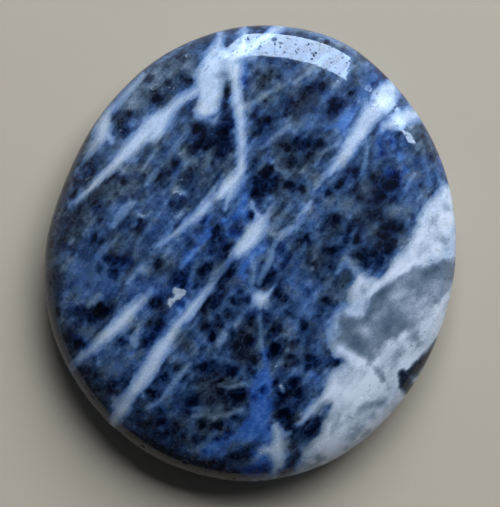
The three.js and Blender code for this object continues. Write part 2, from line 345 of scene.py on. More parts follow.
SKY_STROKES = (
    # Softer, greyer blue.
    ((-20.4, -1.3, 0.7), (-19.6, -2.4, 1.0), (-20.0, -4.0, 0.9), (-19.4, -4.8, 0.6)),
    ((-17.6, -3.0, 0.6), (-16.0, -2.6, 0.5), (-14.4, -2.0, 0.2)),
    ((-17.4, 2.4, 0.3), (-16.6, 3.4, 0.4), (-15.8, 4.4, 0.4), (-14.4, 6.4, 0.5), (-13.2, 7.6, 0.4)),
    ((-11.2, 2.6, 0.6), (-10.6, 4.2, 0.8), (-10.0, 6.0, 0.7)),
    ((-9.3, 11.0, 0.6), (-9.0, 12.2, 0.6), (-8.8, 13.4, 0.5)), ((-11.0, -4.2, 0.6),),
    ((-6.2, -9.6, 0.4), (-5.4, -10.4, 0.4)), ((4.4, 17.6, 0.6), (5.2, 18.8, 0.6)),
    ((7.4, 17.2, 0.7), (8.6, 18.4, 0.8), (9.6, 19.2, 0.5)), ((7.4, 15.8, 0.4), (8.4, 15.4, 0.4)),
    ((-14.0, 18.8, 0.8), (-15.6, 17.0, 0.5)), ((-7.8, 22.0, 0.5),),
    ((-4.4, 11.2, 0.4), (-3.6, 12.2, 0.3)), ((-18.4, 2.2, 0.6),),
    ((-12.6, -12.6, 0.6), (-13.6, -13.4, 0.4)), ((-8.2, -18.2, 0.7), (-9.8, -20.0, 0.6)),
    ((1.6, 16.2, 0.4), (2.6, 16.2, 0.3)), ((-3.4, -17.6, 0.4),), ((10.7, 1.4, 0.5), (11.0, 0.2, 0.5)),
    ((-12.8, 17.4, 0.7), (-11.8, 16.8, 0.6)), ((0.5, 12.6, 0.5), (1.4, 13.2, 0.55)),
    ((6.6, 3.2, 0.6), (7.5, 3.8, 0.7), (7.8, 5.2, 0.5)),
    ((5.6, -5.4, 0.7), (6.3, -6.0, 1.0), (6.8, -6.8, 0.6)),
    ((5.0, -14.2, 0.5), (6.2, -14.8, 0.6), (7.4, -15.2, 0.8)),
    ((7.4, -11.4, 0.5), (8.2, -9.8, 0.7), (8.8, -8.4, 0.5)), ((9.2, -4.6, 0.7), (10.4, -5.4, 0.5)),
    ((-0.9, 4.9, 0.3),), ((5.0, -3.2, 0.8), (5.5, -4.4, 0.8)),
    ((17.2, 6.6, 0.8), (18.6, 8.0, 1.0), (20.0, 9.4, 0.9), (20.2, 11.0, 0.6)),
    ((20.8, 8.6, 0.8), (22.0, 10.2, 1.0)), ((-8.4, -15.2, 0.5), (-9.0, -17.0, 0.55)),
    ((-16.6, -13.4, 0.5), (-15.2, -13.2, 0.7), (-13.8, -12.6, 0.6)),
    ((-7.6, -2.0, 0.3), (-6.8, -1.0, 0.3)), ((-22.6, -7.4, 0.6), (-21.6, -9.2, 0.5)),
    ((-19.0, -9.2, 0.5), (-17.6, -8.4, 0.4)), ((-4.6, -22.7, 0.5), (-3.4, -22.3, 0.4)),
    ((10.2, 15.2, 0.8), (11.6, 16.2, 0.8), (12.8, 17.8, 0.7), (13.8, 19.6, 0.8)),
    ((3.0, -12.8, 0.4), (3.6, -13.8, 0.4)), ((4.2, -16.8, 0.4), (5.4, -17.4, 0.4)),
    ((6.4, -18.0, 0.4), (7.4, -17.4, 0.4)), ((-4.8, -3.6, 0.4), (-5.8, -4.8, 0.4)),
    ((4.6, -6.4, 0.5), (3.9, -7.2, 0.3)), ((5.3, -1.4, 0.6), (4.8, -2.8, 0.5)),
    ((-9.8, 20.8, 0.3), (-8.6, 21.4, 0.3)), ((4.6, 21.6, 0.4), (6.4, 22.8, 0.4)), ((-3.2, 4.6, 0.4),),
    ((0.3, 0.0, 0.4), (0.4, -1.6, 0.45), (0.4, -2.8, 0.4)), ((1.0, 0.4, 0.5), (1.9, 0.6, 0.4)),
    ((-20.9, -3.2, 0.6), (-21.4, -5.0, 0.7), (-22.3, -7.2, 0.7)),
)
BLACK_STROKES = (
    # Left of the upright vein.
    ((-2.75, 19.6, 0.12), (-2.9, 18.5, 0.3), (-2.9, 17.2, 0.52), (-2.8, 16.0, 0.72), (-2.6, 15.0, 0.66)),
    ((-6.1, 14.6, 0.66),), ((-5.3, 14.2, 0.36),), ((-4.0, 14.2, 0.48),), ((-3.2, 14.2, 0.66),),
    ((-3.6, 13.0, 0.48),), ((-2.9, 12.9, 0.56),), ((-6.3, 12.6, 0.6), (-6.9, 12.0, 0.36)),
    ((-5.6, 13.2, 0.4),), ((-3.9, 11.6, 0.38),), ((-3.3, 11.2, 0.55),), ((-4.2, 10.5, 0.25),),
    ((-2.2, 12.0, 0.3),), ((-7.0, 9.7, 0.45),), ((-10.2, 9.4, 0.8),), ((-8.8, 10.4, 0.4),),
    # Right of it.
    ((0.6, 15.5, 0.4), (2.0, 15.5, 0.26)), ((1.2, 14.2, 0.36),), ((5.0, 10.4, 0.6),),
    ((4.2, 12.4, 0.36),), ((6.2, 12.7, 0.55), (7.2, 12.5, 0.55), (8.3, 12.5, 0.4)), ((2.0, 9.2, 0.8),),
    ((3.1, 8.5, 0.6),), ((1.0, 6.9, 0.6),), ((2.7, 7.6, 0.75),), ((0.9, 8.2, 0.45),),
    ((7.2, 19.2, 0.6), (8.2, 19.6, 0.6)), ((9.8, 17.7, 0.4), (9.8, 16.8, 0.6)), ((4.4, 16.5, 0.48),),
    ((6.1, 18.0, 0.3),), ((8.4, 20.6, 0.3),), ((5.4, 17.4, 0.3),), ((11.6, 18.6, 0.3),),
    # The dark field above the white end.
    ((17.0, 9.0, 0.6), (16.4, 8.0, 0.95), (15.4, 8.0, 0.8)), ((14.9, 6.8, 0.85),), ((14.2, 8.9, 0.4),),
    ((14.2, 4.6, 0.6), (15.2, 4.4, 0.6), (15.3, 3.4, 0.6)), ((16.6, 6.4, 0.4),), ((12.8, 3.2, 0.55),),
    ((16.8, 2.8, 0.66),), ((15.4, 2.4, 0.85),), ((16.2, 1.2, 0.8),), ((14.9, 1.2, 0.4),),
    ((13.0, -0.2, 0.8),), ((14.2, 0.1, 0.5),), ((13.6, -1.2, 0.4),), ((14.9, -1.0, 0.36),),
    ((9.7, 3.9, 0.7),), ((8.6, 0.5, 0.55),), ((9.5, 0.4, 0.4),), ((12.2, 1.6, 0.3),), ((11.8, 2.7, 0.4),),
    ((12.6, 9.4, 0.5),), ((11.4, 9.6, 0.4),), ((12.2, 7.4, 0.4),), ((10.4, 8.0, 0.4),),
    ((18.9, 4.3, 0.42),), ((7.0, 1.2, 0.3),), ((9.0, 7.0, 0.35),), ((6.0, 7.6, 0.4),), ((4.8, 7.8, 0.5),),
    # Round the middle and down its left side.
    ((-3.9, 2.6, 0.66),), ((-1.3, 2.8, 0.36),), ((-2.9, 0.6, 0.4), (-2.9, -0.4, 0.45)),
    ((-4.5, 1.3, 0.36),), ((-7.0, 1.3, 0.36),),
    ((-2.3, -1.9, 0.42), (-2.7, -2.8, 0.58), (-3.3, -3.7, 0.58)),
    ((-4.0, -5.0, 0.6), (-4.6, -5.6, 0.78), (-5.4, -6.3, 0.46)), ((-5.6, -2.4, 0.5),),
    ((-4.6, -1.6, 0.3),), ((-8.1, -2.8, 0.85), (-8.8, -3.2, 0.6)), ((-1.1, -4.4, 0.42),),
    ((-1.9, -5.4, 0.36),), ((-0.3, -5.4, 0.32),), ((-2.6, -6.8, 0.46),), ((-6.0, -6.8, 0.42),),
    ((-5.0, -8.6, 0.42),), ((1.6, -3.4, 0.5), (2.4, -2.4, 0.5)), ((3.5, -4.9, 0.56),), ((3.5, 0.5, 0.5),),
    ((2.6, 1.3, 0.3),), ((0.0, -7.4, 0.5), (0.3, -8.4, 0.4)), ((-9.4, -4.9, 0.2),), ((-6.4, -3.6, 0.3),),
    ((-3.8, -7.4, 0.3),), ((-7.6, -6.0, 0.24),),
    # The lower middle.
    ((-0.7, -9.3, 0.85),), ((-0.9, -10.6, 0.85),), ((-0.8, -11.8, 0.75),), ((0.3, -12.2, 0.48),),
    ((-2.2, -9.0, 0.3),), ((0.4, -13.8, 0.36),), ((-2.4, -13.5, 0.7),),
    ((-6.6, -13.2, 0.26), (-5.6, -13.0, 0.48), (-4.6, -12.8, 0.36)), ((1.8, -7.4, 0.66),),
    ((3.0, -8.6, 0.56),), ((3.6, -9.8, 0.46),), ((2.9, -11.0, 0.75),), ((2.6, -12.0, 0.46),),
    ((3.2, -15.0, 0.3), (3.0, -15.8, 0.24)), ((5.2, -15.1, 0.6), (5.3, -16.0, 0.6)),
    ((3.6, -17.2, 0.34),), ((3.4, -18.5, 0.75), (4.3, -19.0, 1.0), (4.9, -20.0, 0.6)),
    ((-1.3, -14.8, 0.3),), ((1.5, -15.8, 0.3),), ((-0.8, -15.9, 0.66),), ((-2.2, -16.4, 0.46),),
    ((-0.5, -17.2, 0.38),), ((-1.4, -17.4, 0.34),), ((-6.6, -17.1, 0.5), (-5.8, -17.4, 0.34)),
    ((-4.5, -17.0, 0.45),), ((-4.4, -15.6, 0.3), (-3.6, -15.5, 0.26)), ((-5.6, -19.7, 0.6),),
    ((-4.6, -20.0, 0.5),), ((-3.6, -19.7, 0.6),), ((-1.7, -19.0, 0.3),), ((-2.6, -20.7, 0.4),),
    ((-6.5, -21.7, 0.45),), ((-7.9, -21.1, 0.4),), ((-4.0, -21.5, 0.24), (-3.0, -21.2, 0.3)),
    ((-9.6, -20.6, 0.3),), ((-0.1, -22.7, 0.4), (-0.7, -23.2, 0.7), (-1.4, -23.6, 0.6)),
    ((-2.6, -24.6, 0.6), (-4.0, -24.4, 0.5)), ((6.4, -8.3, 0.56),), ((6.6, -10.7, 0.28),),
    ((7.2, -12.6, 0.75),), ((10.0, -12.7, 0.4),), ((9.0, -11.4, 0.3),), ((4.8, -12.2, 0.3),),
    ((5.2, -10.2, 0.3),), ((8.0, -7.2, 0.36),), ((9.4, -5.6, 0.4),), ((4.6, -7.2, 0.3),),
    ((7.6, -19.8, 0.6), (6.8, -20.6, 0.6)),
    ((5.4, -23.2, 0.3), (5.0, -24.2, 0.4), (4.4, -25.2, 0.42), (3.8, -26.6, 0.5)),
    # The left side.
    ((-16.8, -0.6, 0.3), (-15.9, -0.8, 0.46), (-15.0, -0.7, 0.42)),
    ((-14.0, 3.4, 0.4), (-13.0, 3.0, 0.5), (-12.4, 3.8, 0.3)), ((-8.8, 5.6, 0.5),), ((-7.9, 6.1, 0.36),),
    ((-18.0, 1.5, 0.42),), ((-21.6, 0.8, 0.5),),
    ((-20.2, -6.6, 0.5), (-18.4, -6.9, 0.9), (-16.8, -6.6, 0.5)), ((-21.0, -9.2, 0.5),),
    ((-19.6, -10.6, 0.42),), ((-10.8, -5.8, 0.7),),
    ((-10.6, -8.0, 0.46), (-10.9, -9.0, 0.5), (-11.5, -10.2, 0.36)), ((-14.8, -10.2, 0.42),),
    ((-16.4, -15.6, 0.7),), ((-18.4, -16.2, 0.6),), ((-19.8, -13.4, 0.4), (-18.6, -13.9, 0.5)),
    ((-10.8, -12.9, 0.3), (-10.0, -14.4, 0.42)), ((-12.0, -16.0, 0.3),), ((-10.4, -18.3, 0.36),),
    ((-13.6, -18.6, 0.3),), ((-8.8, -20.2, 0.4),), ((-12.0, -19.8, 0.3),), ((-18.6, 6.6, 0.5),),
    ((-17.9, 5.8, 0.45),), ((-16.4, 8.8, 0.34), (-15.6, 9.0, 0.42), (-14.8, 8.6, 0.5)),
    ((-12.6, 9.0, 0.34),), ((-11.0, 18.4, 0.4), (-10.5, 17.6, 0.42)), ((-11.6, 20.4, 0.34),),
    ((-9.3, 19.8, 0.34),), ((-8.1, 20.9, 0.28),), ((-8.0, 22.7, 0.36),), ((-7.6, 17.8, 0.14),),
    ((-14.0, 16.2, 0.3),), ((-9.6, 17.6, 0.3),), ((7.0, 11.5, 0.4),),
    ((-14.2, -14.8, 0.3), (-13.4, -15.2, 0.3)), ((-18.4, 10.4, 0.3),), ((-20.4, 8.6, 0.4),),
    ((-15.4, 6.8, 0.3),), ((-10.4, 12.6, 0.3),),
    # Painted shade: the rim of the lower side, darkened to near-black as if in shadow.
    (
        (-17.8, -18.2, 0.6), (-14.6, -21.2, 1.0), (-12.0, -22.8, 1.3), (-9.0, -24.4, 1.3),
        (-6.0, -25.4, 1.1), (-3.0, -26.0, 1.2), (-0.6, -27.2, 0.9),
    ),
)
FLECK_STROKES = (
    # The flecks beside the long vein.
    ((-8.7, -4.3, 0.34), (-8.3, -4.5, 0.5), (-7.8, -4.5, 0.4)), ((-8.3, -5.0, 0.34), (-8.7, -5.2, 0.2)),
    ((-9.2, -5.4, 0.24), (-9.4, -5.7, 0.26), (-9.3, -6.0, 0.14)),
    ((-8.8, -5.3, 0.14), (-9.0, -5.6, 0.16)),
    # Single ones.
    ((3.5, -15.3, 0.06), (3.8, -15.7, 0.1)), ((2.8, -13.2, 0.06), (3.1, -12.9, 0.1)),
    ((-9.0, 6.9, 0.04), (-8.4, 7.3, 0.06), (-8.0, 6.8, 0.04)), ((-13.0, 4.5, 0.04), (-12.4, 4.3, 0.06)),
    ((-8.2, 8.4, 0.04), (-7.8, 8.5, 0.04)),
)
KNOB_AND_SHADE_STROKES = (
    # The knob of dark rock at the rim of the white end, laid over the white, and painted shade along the rim
    # beside it.
    (
        (17.9, -14.1, 0.54), (18.2, -14.8, 0.84), (18.3, -15.6, 0.7), (18.5, -16.3, 0.34),
        (18.8, -17.4, 0.2),
    ),
    # Painted shade: a thin dark line along the rim, where it turns away from the light.
    ((18.9, -14.0, 0.6), (19.6, -13.1, 0.6), (20.5, -12.2, 0.5), (21.3, -11.1, 0.3), (22.0, -10.1, 0.1)),
)
ASHEN_STROKES = (
    # Where the calcite is greyer than in the veins.
    ((22.0, -5.0, 3.5), (17.5, -10.0, 5.5), (14.0, -17.0, 5.0), (10.0, -22.5, 3.5)),
    ((12.0, -4.0, 1.0), (15.0, -3.6, 1.0), (18.4, -1.2, 1.4), (21.4, 2.8, 1.6), (23.4, 6.0, 1.0)),
)
SLATE_STROKES = (
    # Darker drifts, not as dark as the black ones, and painted shade along the rim.
    ((-15.2, 16.2, 0.6), (-15.0, 15.2, 0.9), (-15.2, 14.2, 0.6)),
    ((-8.4, 16.6, 0.4), (-7.2, 16.9, 0.6), (-6.7, 16.2, 0.35)),
    ((-17.3, 7.4, 1.0), (-18.6, 9.0, 0.9), (-19.8, 10.6, 0.7)), ((-18.0, 5.2, 0.8), (-17.4, 4.0, 0.6)),
    ((-21.8, 8.4, 0.7), (-22.4, 6.4, 0.6)), ((6.6, 11.2, 0.6), (8.0, 10.8, 0.7), (9.0, 11.8, 0.4)),
    ((-14.4, -14.6, 0.6), (-13.6, -15.6, 0.4)), ((-11.6, -0.4, 0.4), (-12.8, -1.0, 0.3)),
    ((-14.8, -4.2, 0.6),), ((2.6, 7.4, 0.8),), ((7.2, 6.4, 0.4),), ((1.0, -6.9, 0.5),),
    ((9.0, -14.6, 0.3),), ((18.8, 12.2, 0.6), (19.4, 11.2, 0.5)), ((-3.2, 0.0, 0.6), (-3.6, -1.0, 0.4)),
    ((3.6, 6.9, 0.5), (4.0, 5.9, 0.3)), ((-1.5, 4.4, 0.3), (-1.7, 2.8, 0.5)),
    ((-22.6, 0.6, 0.8), (-21.8, 2.4, 0.9), (-20.6, 4.0, 0.9), (-19.4, 5.0, 0.7)),
    ((-22.8, -2.6, 0.6), (-22.6, -4.4, 0.7), (-23.4, -6.0, 0.5)),
    ((-6.6, 13.6, 0.9), (-4.6, 12.6, 1.4), (-3.4, 12.6, 1.2), (-3.0, 14.8, 0.9)),
    ((-7.6, 8.4, 0.6), (-6.0, 9.0, 0.7), (-5.0, 9.2, 0.3)), ((-7.6, -8.6, 0.4), (-6.8, -9.4, 0.5)),
    ((-10.4, 9.2, 0.9), (-9.0, 10.2, 0.6)), ((0.8, 15.6, 0.6), (2.4, 15.5, 0.6)),
    ((1.0, 17.0, 0.5), (2.4, 17.8, 0.5)), ((2.0, 20.8, 0.5), (1.4, 19.6, 0.5)),
    ((3.6, 12.2, 0.4), (5.0, 12.2, 0.9), (6.6, 12.6, 0.9), (8.2, 12.4, 0.8)),
    ((4.4, 10.6, 0.6), (5.4, 10.4, 0.6)), ((0.8, 7.0, 1.1), (1.6, 8.4, 1.5), (2.8, 8.6, 1.3)),
    ((4.6, 7.6, 0.8), (5.4, 8.8, 0.6)), ((12.0, 8.6, 1.0), (10.8, 8.4, 0.8)),
    ((15.8, 8.0, 1.9), (14.8, 6.4, 1.6), (14.4, 4.6, 1.3)),
    ((16.6, 2.8, 1.3), (15.6, 1.6, 1.8), (13.8, -0.2, 1.4), (14.8, -1.4, 0.8)),
    ((12.6, 3.2, 0.9), (12.6, 1.6, 0.5)), ((9.7, 3.8, 0.9),),
    ((9.4, 0.4, 0.9), (7.8, -1.4, 0.8), (8.0, -2.6, 0.6)), ((11.2, -2.4, 0.8), (10.4, -3.8, 0.8)),
    ((8.6, -6.0, 0.7),), ((6.6, 18.4, 1.4), (5.4, 16.8, 1.0), (8.2, 19.6, 0.9)), ((9.8, 17.2, 0.8),),
    (
        (-3.8, 2.2, 0.9), (-3.0, 0.2, 0.8), (-2.4, -1.6, 0.6), (-3.0, -3.0, 0.7), (-4.4, -5.4, 0.9),
        (-5.8, -6.8, 0.7),
    ),
    ((-5.4, -2.4, 0.7), (-4.6, -1.2, 0.5)), ((-0.8, -5.4, 0.7), (-2.2, -6.8, 0.7)), ((-8.4, -3.0, 0.9),),
    ((2.0, -3.0, 1.0), (3.4, -4.8, 0.7)), ((-0.8, -10.4, 1.5), (-0.4, -12.2, 1.1)),
    ((2.0, -7.6, 0.9), (3.2, -9.6, 1.0), (2.8, -11.6, 1.0)),
    ((-5.6, -13.2, 0.8), (-3.6, -13.8, 0.9), (-2.0, -13.8, 0.8)),
    ((-6.2, -17.0, 0.9), (-4.4, -16.4, 1.0), (-2.2, -16.4, 1.0), (-0.8, -16.6, 0.9)),
    ((-5.4, -19.9, 1.0), (-3.6, -19.9, 0.8)), ((4.4, -19.0, 1.3), (5.2, -16.0, 1.0), (3.4, -17.0, 0.5)),
    ((-20.6, -6.8, 0.8), (-18.4, -7.2, 1.0), (-16.4, -6.9, 0.8)), ((-15.8, -0.6, 0.9), (-14.2, 0.0, 0.4)),
    ((-10.8, -6.2, 0.9), (-10.5, -8.4, 0.7), (-11.3, -10.2, 0.5)),
    ((-17.6, -16.2, 1.0), (-16.0, -15.6, 0.8)), ((-21.4, -10.0, 0.8), (-19.8, -10.8, 0.7)),
    ((-14.0, -19.4, 0.8), (-12.0, -20.4, 0.9), (-9.6, -21.6, 0.9), (-7.6, -21.8, 0.8)),
    ((-8.6, -23.4, 0.8), (-5.6, -24.6, 0.7)), ((6.2, -20.8, 0.9), (7.6, -20.4, 0.9), (5.4, -22.0, 0.4)),
    ((7.2, -12.6, 1.0), (9.8, -12.6, 0.8)), ((5.0, -10.6, 0.5), (4.6, -12.2, 0.5)),
    ((-14.8, 3.2, 0.6), (-13.2, 3.2, 0.9)),
    ((-10.4, -13.4, 0.6), (-11.2, -15.4, 0.6), (-13.2, -18.2, 0.5)),
    ((2.2, -24.9, 0.7), (0.8, -25.4, 1.0), (-0.8, -26.2, 1.0)), ((0.0, -23.0, 0.9), (-1.4, -23.8, 0.8)),
    ((11.5, 24.8, 0.4), (13.4, 23.4, 0.5), (15.2, 21.8, 0.5), (16.5, 20.6, 0.4)),
    ((0.2, 26.3, 0.3), (2.2, 26.3, 0.3)), ((-10.4, -19.0, 1.0), (-9.4, -20.4, 1.0)),
    ((-14.6, -20.2, 1.2),), ((-18.0, -15.2, 0.9), (-17.0, -17.2, 0.9)),
    ((-9.2, -13.4, 0.6), (-10.6, -16.2, 0.7)), ((-7.0, -16.6, 0.9), (-7.4, -18.4, 0.8)),
    ((-12.4, -17.0, 0.5),), ((7.0, -9.2, 0.8), (6.6, -11.0, 0.7)), ((0.3, -6.9, 0.8), (0.4, -8.8, 0.6)),
    ((-4.6, -8.6, 0.8), (-6.4, -7.6, 0.6)), ((-8.6, -9.6, 0.5), (-7.4, -11.0, 0.8)),
    ((15.1, 12.9, 0.6), (15.4, 11.4, 0.7)), ((-18.6, 7.4, 0.6), (-16.6, 8.2, 0.9)),
    # Painted shade along the left and lower rim, where the light falls off it.
    (
        (-22.2, 10.0, 0.8), (-23.4, 5.0, 1.3), (-24.2, 0.0, 1.0), (-23.6, -6.0, 1.0), (-22.2, -11.0, 1.2),
        (-20.2, -15.0, 1.4), (-17.0, -19.0, 1.4), (-13.0, -22.4, 1.4), (-8.0, -25.2, 1.4),
        (-2.0, -27.0, 1.4),
    ),
)
SMOKY_AND_SHADE_STROKES = (
    # Smoky places in the calcite, and painted shade along the rim of the white end.
    ((-3.6, 22.8, 0.3),), ((-4.4, -3.3, 0.2), (-3.4, -2.2, 0.4), (-2.2, -0.6, 0.2)),
    ((2.4, 4.9, 0.2), (3.3, 6.2, 0.3)), ((4.2, 2.6, 0.1), (5.2, 3.4, 0.3), (6.1, 4.5, 0.2)),
    ((-4.0, 20.7, 0.3), (-3.2, 20.9, 0.3)), ((0.4, -4.2, 0.2),), ((21.4, 4.2, 0.2), (21.2, 3.6, 0.2)),
    ((23.2, 5.4, 0.3),), ((19.3, 3.4, 0.2),), ((21.6, 1.9, 0.4), (22.3, 1.6, 0.44), (22.8, 1.2, 0.3)),
    ((13.1, -4.4, 0.44), (13.8, -3.8, 0.4)), ((10.4, -18.7, 0.36), (10.1, -19.8, 0.4), (9.8, -20.6, 0.3)),
    ((14.4, -19.0, 0.5),), ((12.8, -18.0, 0.3), (14.2, -17.8, 0.5), (15.4, -17.4, 0.4)),
    ((12.0, -21.4, 0.5), (13.4, -20.6, 0.5)), ((17.0, -12.6, 0.4), (17.8, -11.6, 0.4)),
    ((8.0, -23.8, 0.4),), ((6.4, -25.0, 0.3), (7.2, -24.6, 0.3)), ((8.6, -18.2, 0.5), (9.0, -17.6, 0.3)),
    ((19.2, -9.6, 0.3), (19.8, -10.4, 0.3)), ((9.7, -7.6, 0.4), (9.8, -9.0, 0.5), (9.7, -10.6, 0.4)),
    ((-4.0, 6.0, 0.24),), ((16.9, -9.7, 0.4),),
    # The darker places of the grey heart.
    ((16.4, -4.0, 0.2), (14.9, -5.0, 0.6), (14.3, -6.2, 0.8), (13.2, -7.6, 0.5)), ((17.6, -8.4, 0.4),),
    ((15.8, -8.2, 0.4), (16.0, -9.4, 0.4)), ((10.7, -7.8, 0.9), (11.8, -8.0, 0.5)),
    ((12.4, -10.4, 0.6), (13.4, -11.6, 0.6)), ((20.4, -2.6, 0.3), (22.0, -1.6, 0.4)),
    # Painted shade along the rim of the white end, where it rolls down away from the light.
    ((17.4, -19.0, 0.3), (15.0, -21.6, 0.4), (11.0, -24.6, 0.5), (7.0, -26.4, 0.6)),
)
OLIVE_STROKES = (
    # Where the rock is a dull grey-green or brown, and a painted reflection along the left rim.
    # Painted reflection: a dull grey-brown band along the left rim.
    (
        (-21.6, 11.0, 1.6), (-22.6, 8.0, 1.6), (-23.4, 4.0, 1.8), (-23.8, 0.0, 1.8), (-23.4, -6.0, 1.6),
        (-22.0, -11.0, 1.6),
    ),
    ((-21.0, 2.4, 1.2), (-19.2, 4.6, 1.2)), ((-18.2, 7.2, 1.6), (-16.0, 7.6, 1.5), (-13.6, 8.2, 1.2)),
    ((3.4, 10.8, 1.2), (5.4, 9.4, 1.0)), ((3.2, 4.6, 0.8), (4.4, 4.2, 0.7)),
    ((19.4, 14.0, 1.0), (20.8, 12.2, 1.0)), ((1.6, 18.2, 1.0), (0.6, 19.4, 0.8)), ((5.4, 15.4, 0.9),),
    ((6.4, 10.4, 1.0), (7.8, 11.6, 0.9)), ((17.6, 1.4, 0.8),),
    ((-13.4, 17.4, 1.3), (-10.8, 20.4, 1.6), (-7.8, 22.2, 1.3)),
    ((-8.0, 12.2, 0.7), (-6.6, 10.4, 0.9), (-7.6, 9.0, 0.8)), ((-12.0, 9.6, 1.0), (-16.4, 10.0, 0.6)),
    ((-20.4, 12.6, 0.8), (-19.6, 14.0, 0.6)), ((3.2, 19.2, 1.0),), ((-8.8, 7.2, 0.8),),
    ((-20.2, 3.2, 1.0),), ((4.2, 6.2, 0.7),), ((7.4, 9.0, 0.9),), ((13.2, 7.2, 1.0),),
    ((19.2, 12.2, 0.4),), ((12.2, 4.6, 0.8),), ((3.0, 2.4, 0.6),), ((0.4, -8.2, 0.7), (0.4, -11.0, 0.6)),
    ((4.2, -9.2, 0.8),), ((-8.4, -19.8, 1.0),), ((5.6, -19.0, 0.7),),
    ((11.4, -2.8, 0.8), (10.6, -3.8, 0.6)), ((-17.0, -16.6, 1.2),),
    ((-4.6, -3.6, 0.3), (-3.2, -2.0, 0.3)), ((9.6, 19.8, 0.6),), ((-18.4, 12.6, 0.8),),
    ((-19.4, 12.0, 1.0),), ((2.4, -13.2, 0.5),), ((12.0, -0.8, 0.7),), ((14.4, 2.4, 1.0),),
    ((-8.2, -9.8, 0.8), (-6.8, -10.8, 0.9)), ((-0.6, -9.6, 1.4), (-0.4, -12.0, 1.0)),
    ((-4.8, -15.6, 1.4), (-3.4, -17.6, 1.5), (-5.0, -20.2, 1.2)),
    ((-3.0, -14.8, 0.8), (-1.6, -15.2, 0.4)), ((1.6, 20.6, 1.2), (0.8, 18.8, 0.8)),
    ((4.2, 12.4, 0.9), (5.0, 10.4, 0.7)), ((7.8, 0.2, 1.0), (7.4, -1.2, 0.8)),
    ((-5.6, 9.0, 0.8), (-4.4, 12.0, 0.9)), ((5.6, 16.9, 0.9), (6.4, 18.0, 0.8)),
    ((4.8, -10.8, 0.7), (4.2, -12.6, 0.6)), ((-9.4, -0.9, 0.7), (-10.6, -1.6, 0.6)),
    ((-17.4, -16.6, 0.8), (-18.6, -15.6, 0.6)), ((-4.0, 6.0, 0.3),), ((-15.2, 15.0, 0.8),),
    ((16.6, 4.8, 0.8), (17.8, 5.0, 0.8)), ((-7.2, -22.0, 0.8),), ((9.6, 5.9, 0.6), (11.4, 5.6, 0.6)),
)
AZURE_STROKES = (
    # Where the rock is a clearer blue.
    ((-17.0, -4.0, 1.2), (-14.0, -4.4, 1.6), (-10.0, -4.6, 1.8), (-7.0, -3.4, 1.2)),
    ((-9.0, -8.0, 1.6), (-13.0, -10.8, 1.6)), ((-14.6, -12.9, 0.7), (-12.8, -13.4, 1.0)),
    ((-14.6, -1.2, 1.3),), ((-14.6, 7.8, 1.0), (-13.4, 9.0, 0.8)), ((-9.2, 2.4, 1.2), (-5.4, 1.2, 1.2)),
    ((1.2, 15.4, 1.0),), ((-0.9, 2.5, 1.0), (0.3, 2.6, 0.8), (-0.2, 5.6, 0.6)),
    ((9.0, 15.4, 1.0), (12.6, 18.2, 1.1), (14.6, 20.6, 1.0)), ((5.2, -4.0, 1.2), (8.8, -5.0, 0.8)),
    ((3.0, -16.4, 0.9),), ((-9.2, 10.8, 0.8),), ((-4.2, 3.4, 1.0),),
    ((1.8, -23.6, 0.8), (2.0, -25.0, 1.0)), ((3.6, 1.0, 0.8), (3.8, -1.0, 0.8)),
    ((-20.0, -10.0, 1.4), (-22.6, -7.6, 1.0)),
)

# The markings that the material reads, each as an attribute of the stone's mesh: how far a place
# lies outside the nearest marking of that kind, in millimetres, and less than nothing inside.
MARKINGS = {
    "white": (WHITE_VEINS, WHITE_PATCHES),
    "pale": (PALE_VEINS_AND_SHEEN, ()),
    "haze": (HAZE_STROKES, ()),
    "royal": (ROYAL_STROKES, ()),
    "sky": (SKY_STROKES, ()),
    "black": (BLACK_STROKES, ()),
    "slate": (SLATE_STROKES, ()),
    "smoky": (SMOKY_AND_SHADE_STROKES, ()),
    "cloudy": (CLOUDY_STROKES, ()),
    "olive": (OLIVE_STROKES, ()),
    "azure": (AZURE_STROKES, ()),
    "grey": (GREY_STROKES, GREY_PATCHES),
    "knob": (KNOB_AND_SHADE_STROKES, ()),
    "fleck": (FLECK_STROKES, ()),
    "ashen": (ASHEN_STROKES, ()),
}


def length_setting(name, description, default):
    return FloatProperty(
        name=name, description=description, default=default, subtype="DISTANCE", unit="LENGTH"
    )


class StoneSettings(bpy.types.PropertyGroup):
    """Sizes of the stone's surface."""

    cells: IntProperty(
        name="Cells Across", description="Faces across each side of the stone", default=216, min=20, max=220
    )
    smoothing: IntProperty(
        name="Smoothing", description="How often the surface is evened out", default=6, min=0, max=40
    )
    wave_height: length_setting("Wave Height", "How far the hand-ground surface rises and falls", 0.05 * MM)
    wave_length: length_setting("Wave Length", "How far apart the rises are", 11 * MM)
    pit_spacing: length_setting("Pit Spacing", "Least distance between pits", 2.2 * MM)
    pit_radius: length_setting("Pit Radius", "Radius of the widest pits", 0.3 * MM)
    pit_depth: length_setting("Pit Depth", "Depth of the deepest pits", 0.04 * MM)
    seed: IntProperty(name="Seed", description="Which arrangement of pits is made", default=7)


class MarkingSettings(bpy.types.PropertyGroup):
    """How the markings lie in the rock."""

    dip: FloatVectorProperty(
        name="Dip",
        description="How far the markings shift across and along the stone for each length of depth",
        size=2,
        default=(1.1, -0.8),
    )
    loosening: FloatProperty(
        name="Loosening",
        description="How much further they stray for each length of depth",
        default=0.25,
        min=0,
    )
    wander: length_setting(
        "Wander", "How far the markings stray from the lines that they are drawn on", 0.16 * MM
    )
    # Blender takes a seed of 0 from the clock.
    seed: IntProperty(name="Seed", description="Which way the markings stray", default=7, min=1)
    grain_angle: FloatProperty(
        name="Grain Angle",
        description="Direction of the veins, from X",
        default=math.radians(50),
        subtype="ANGLE",
    )


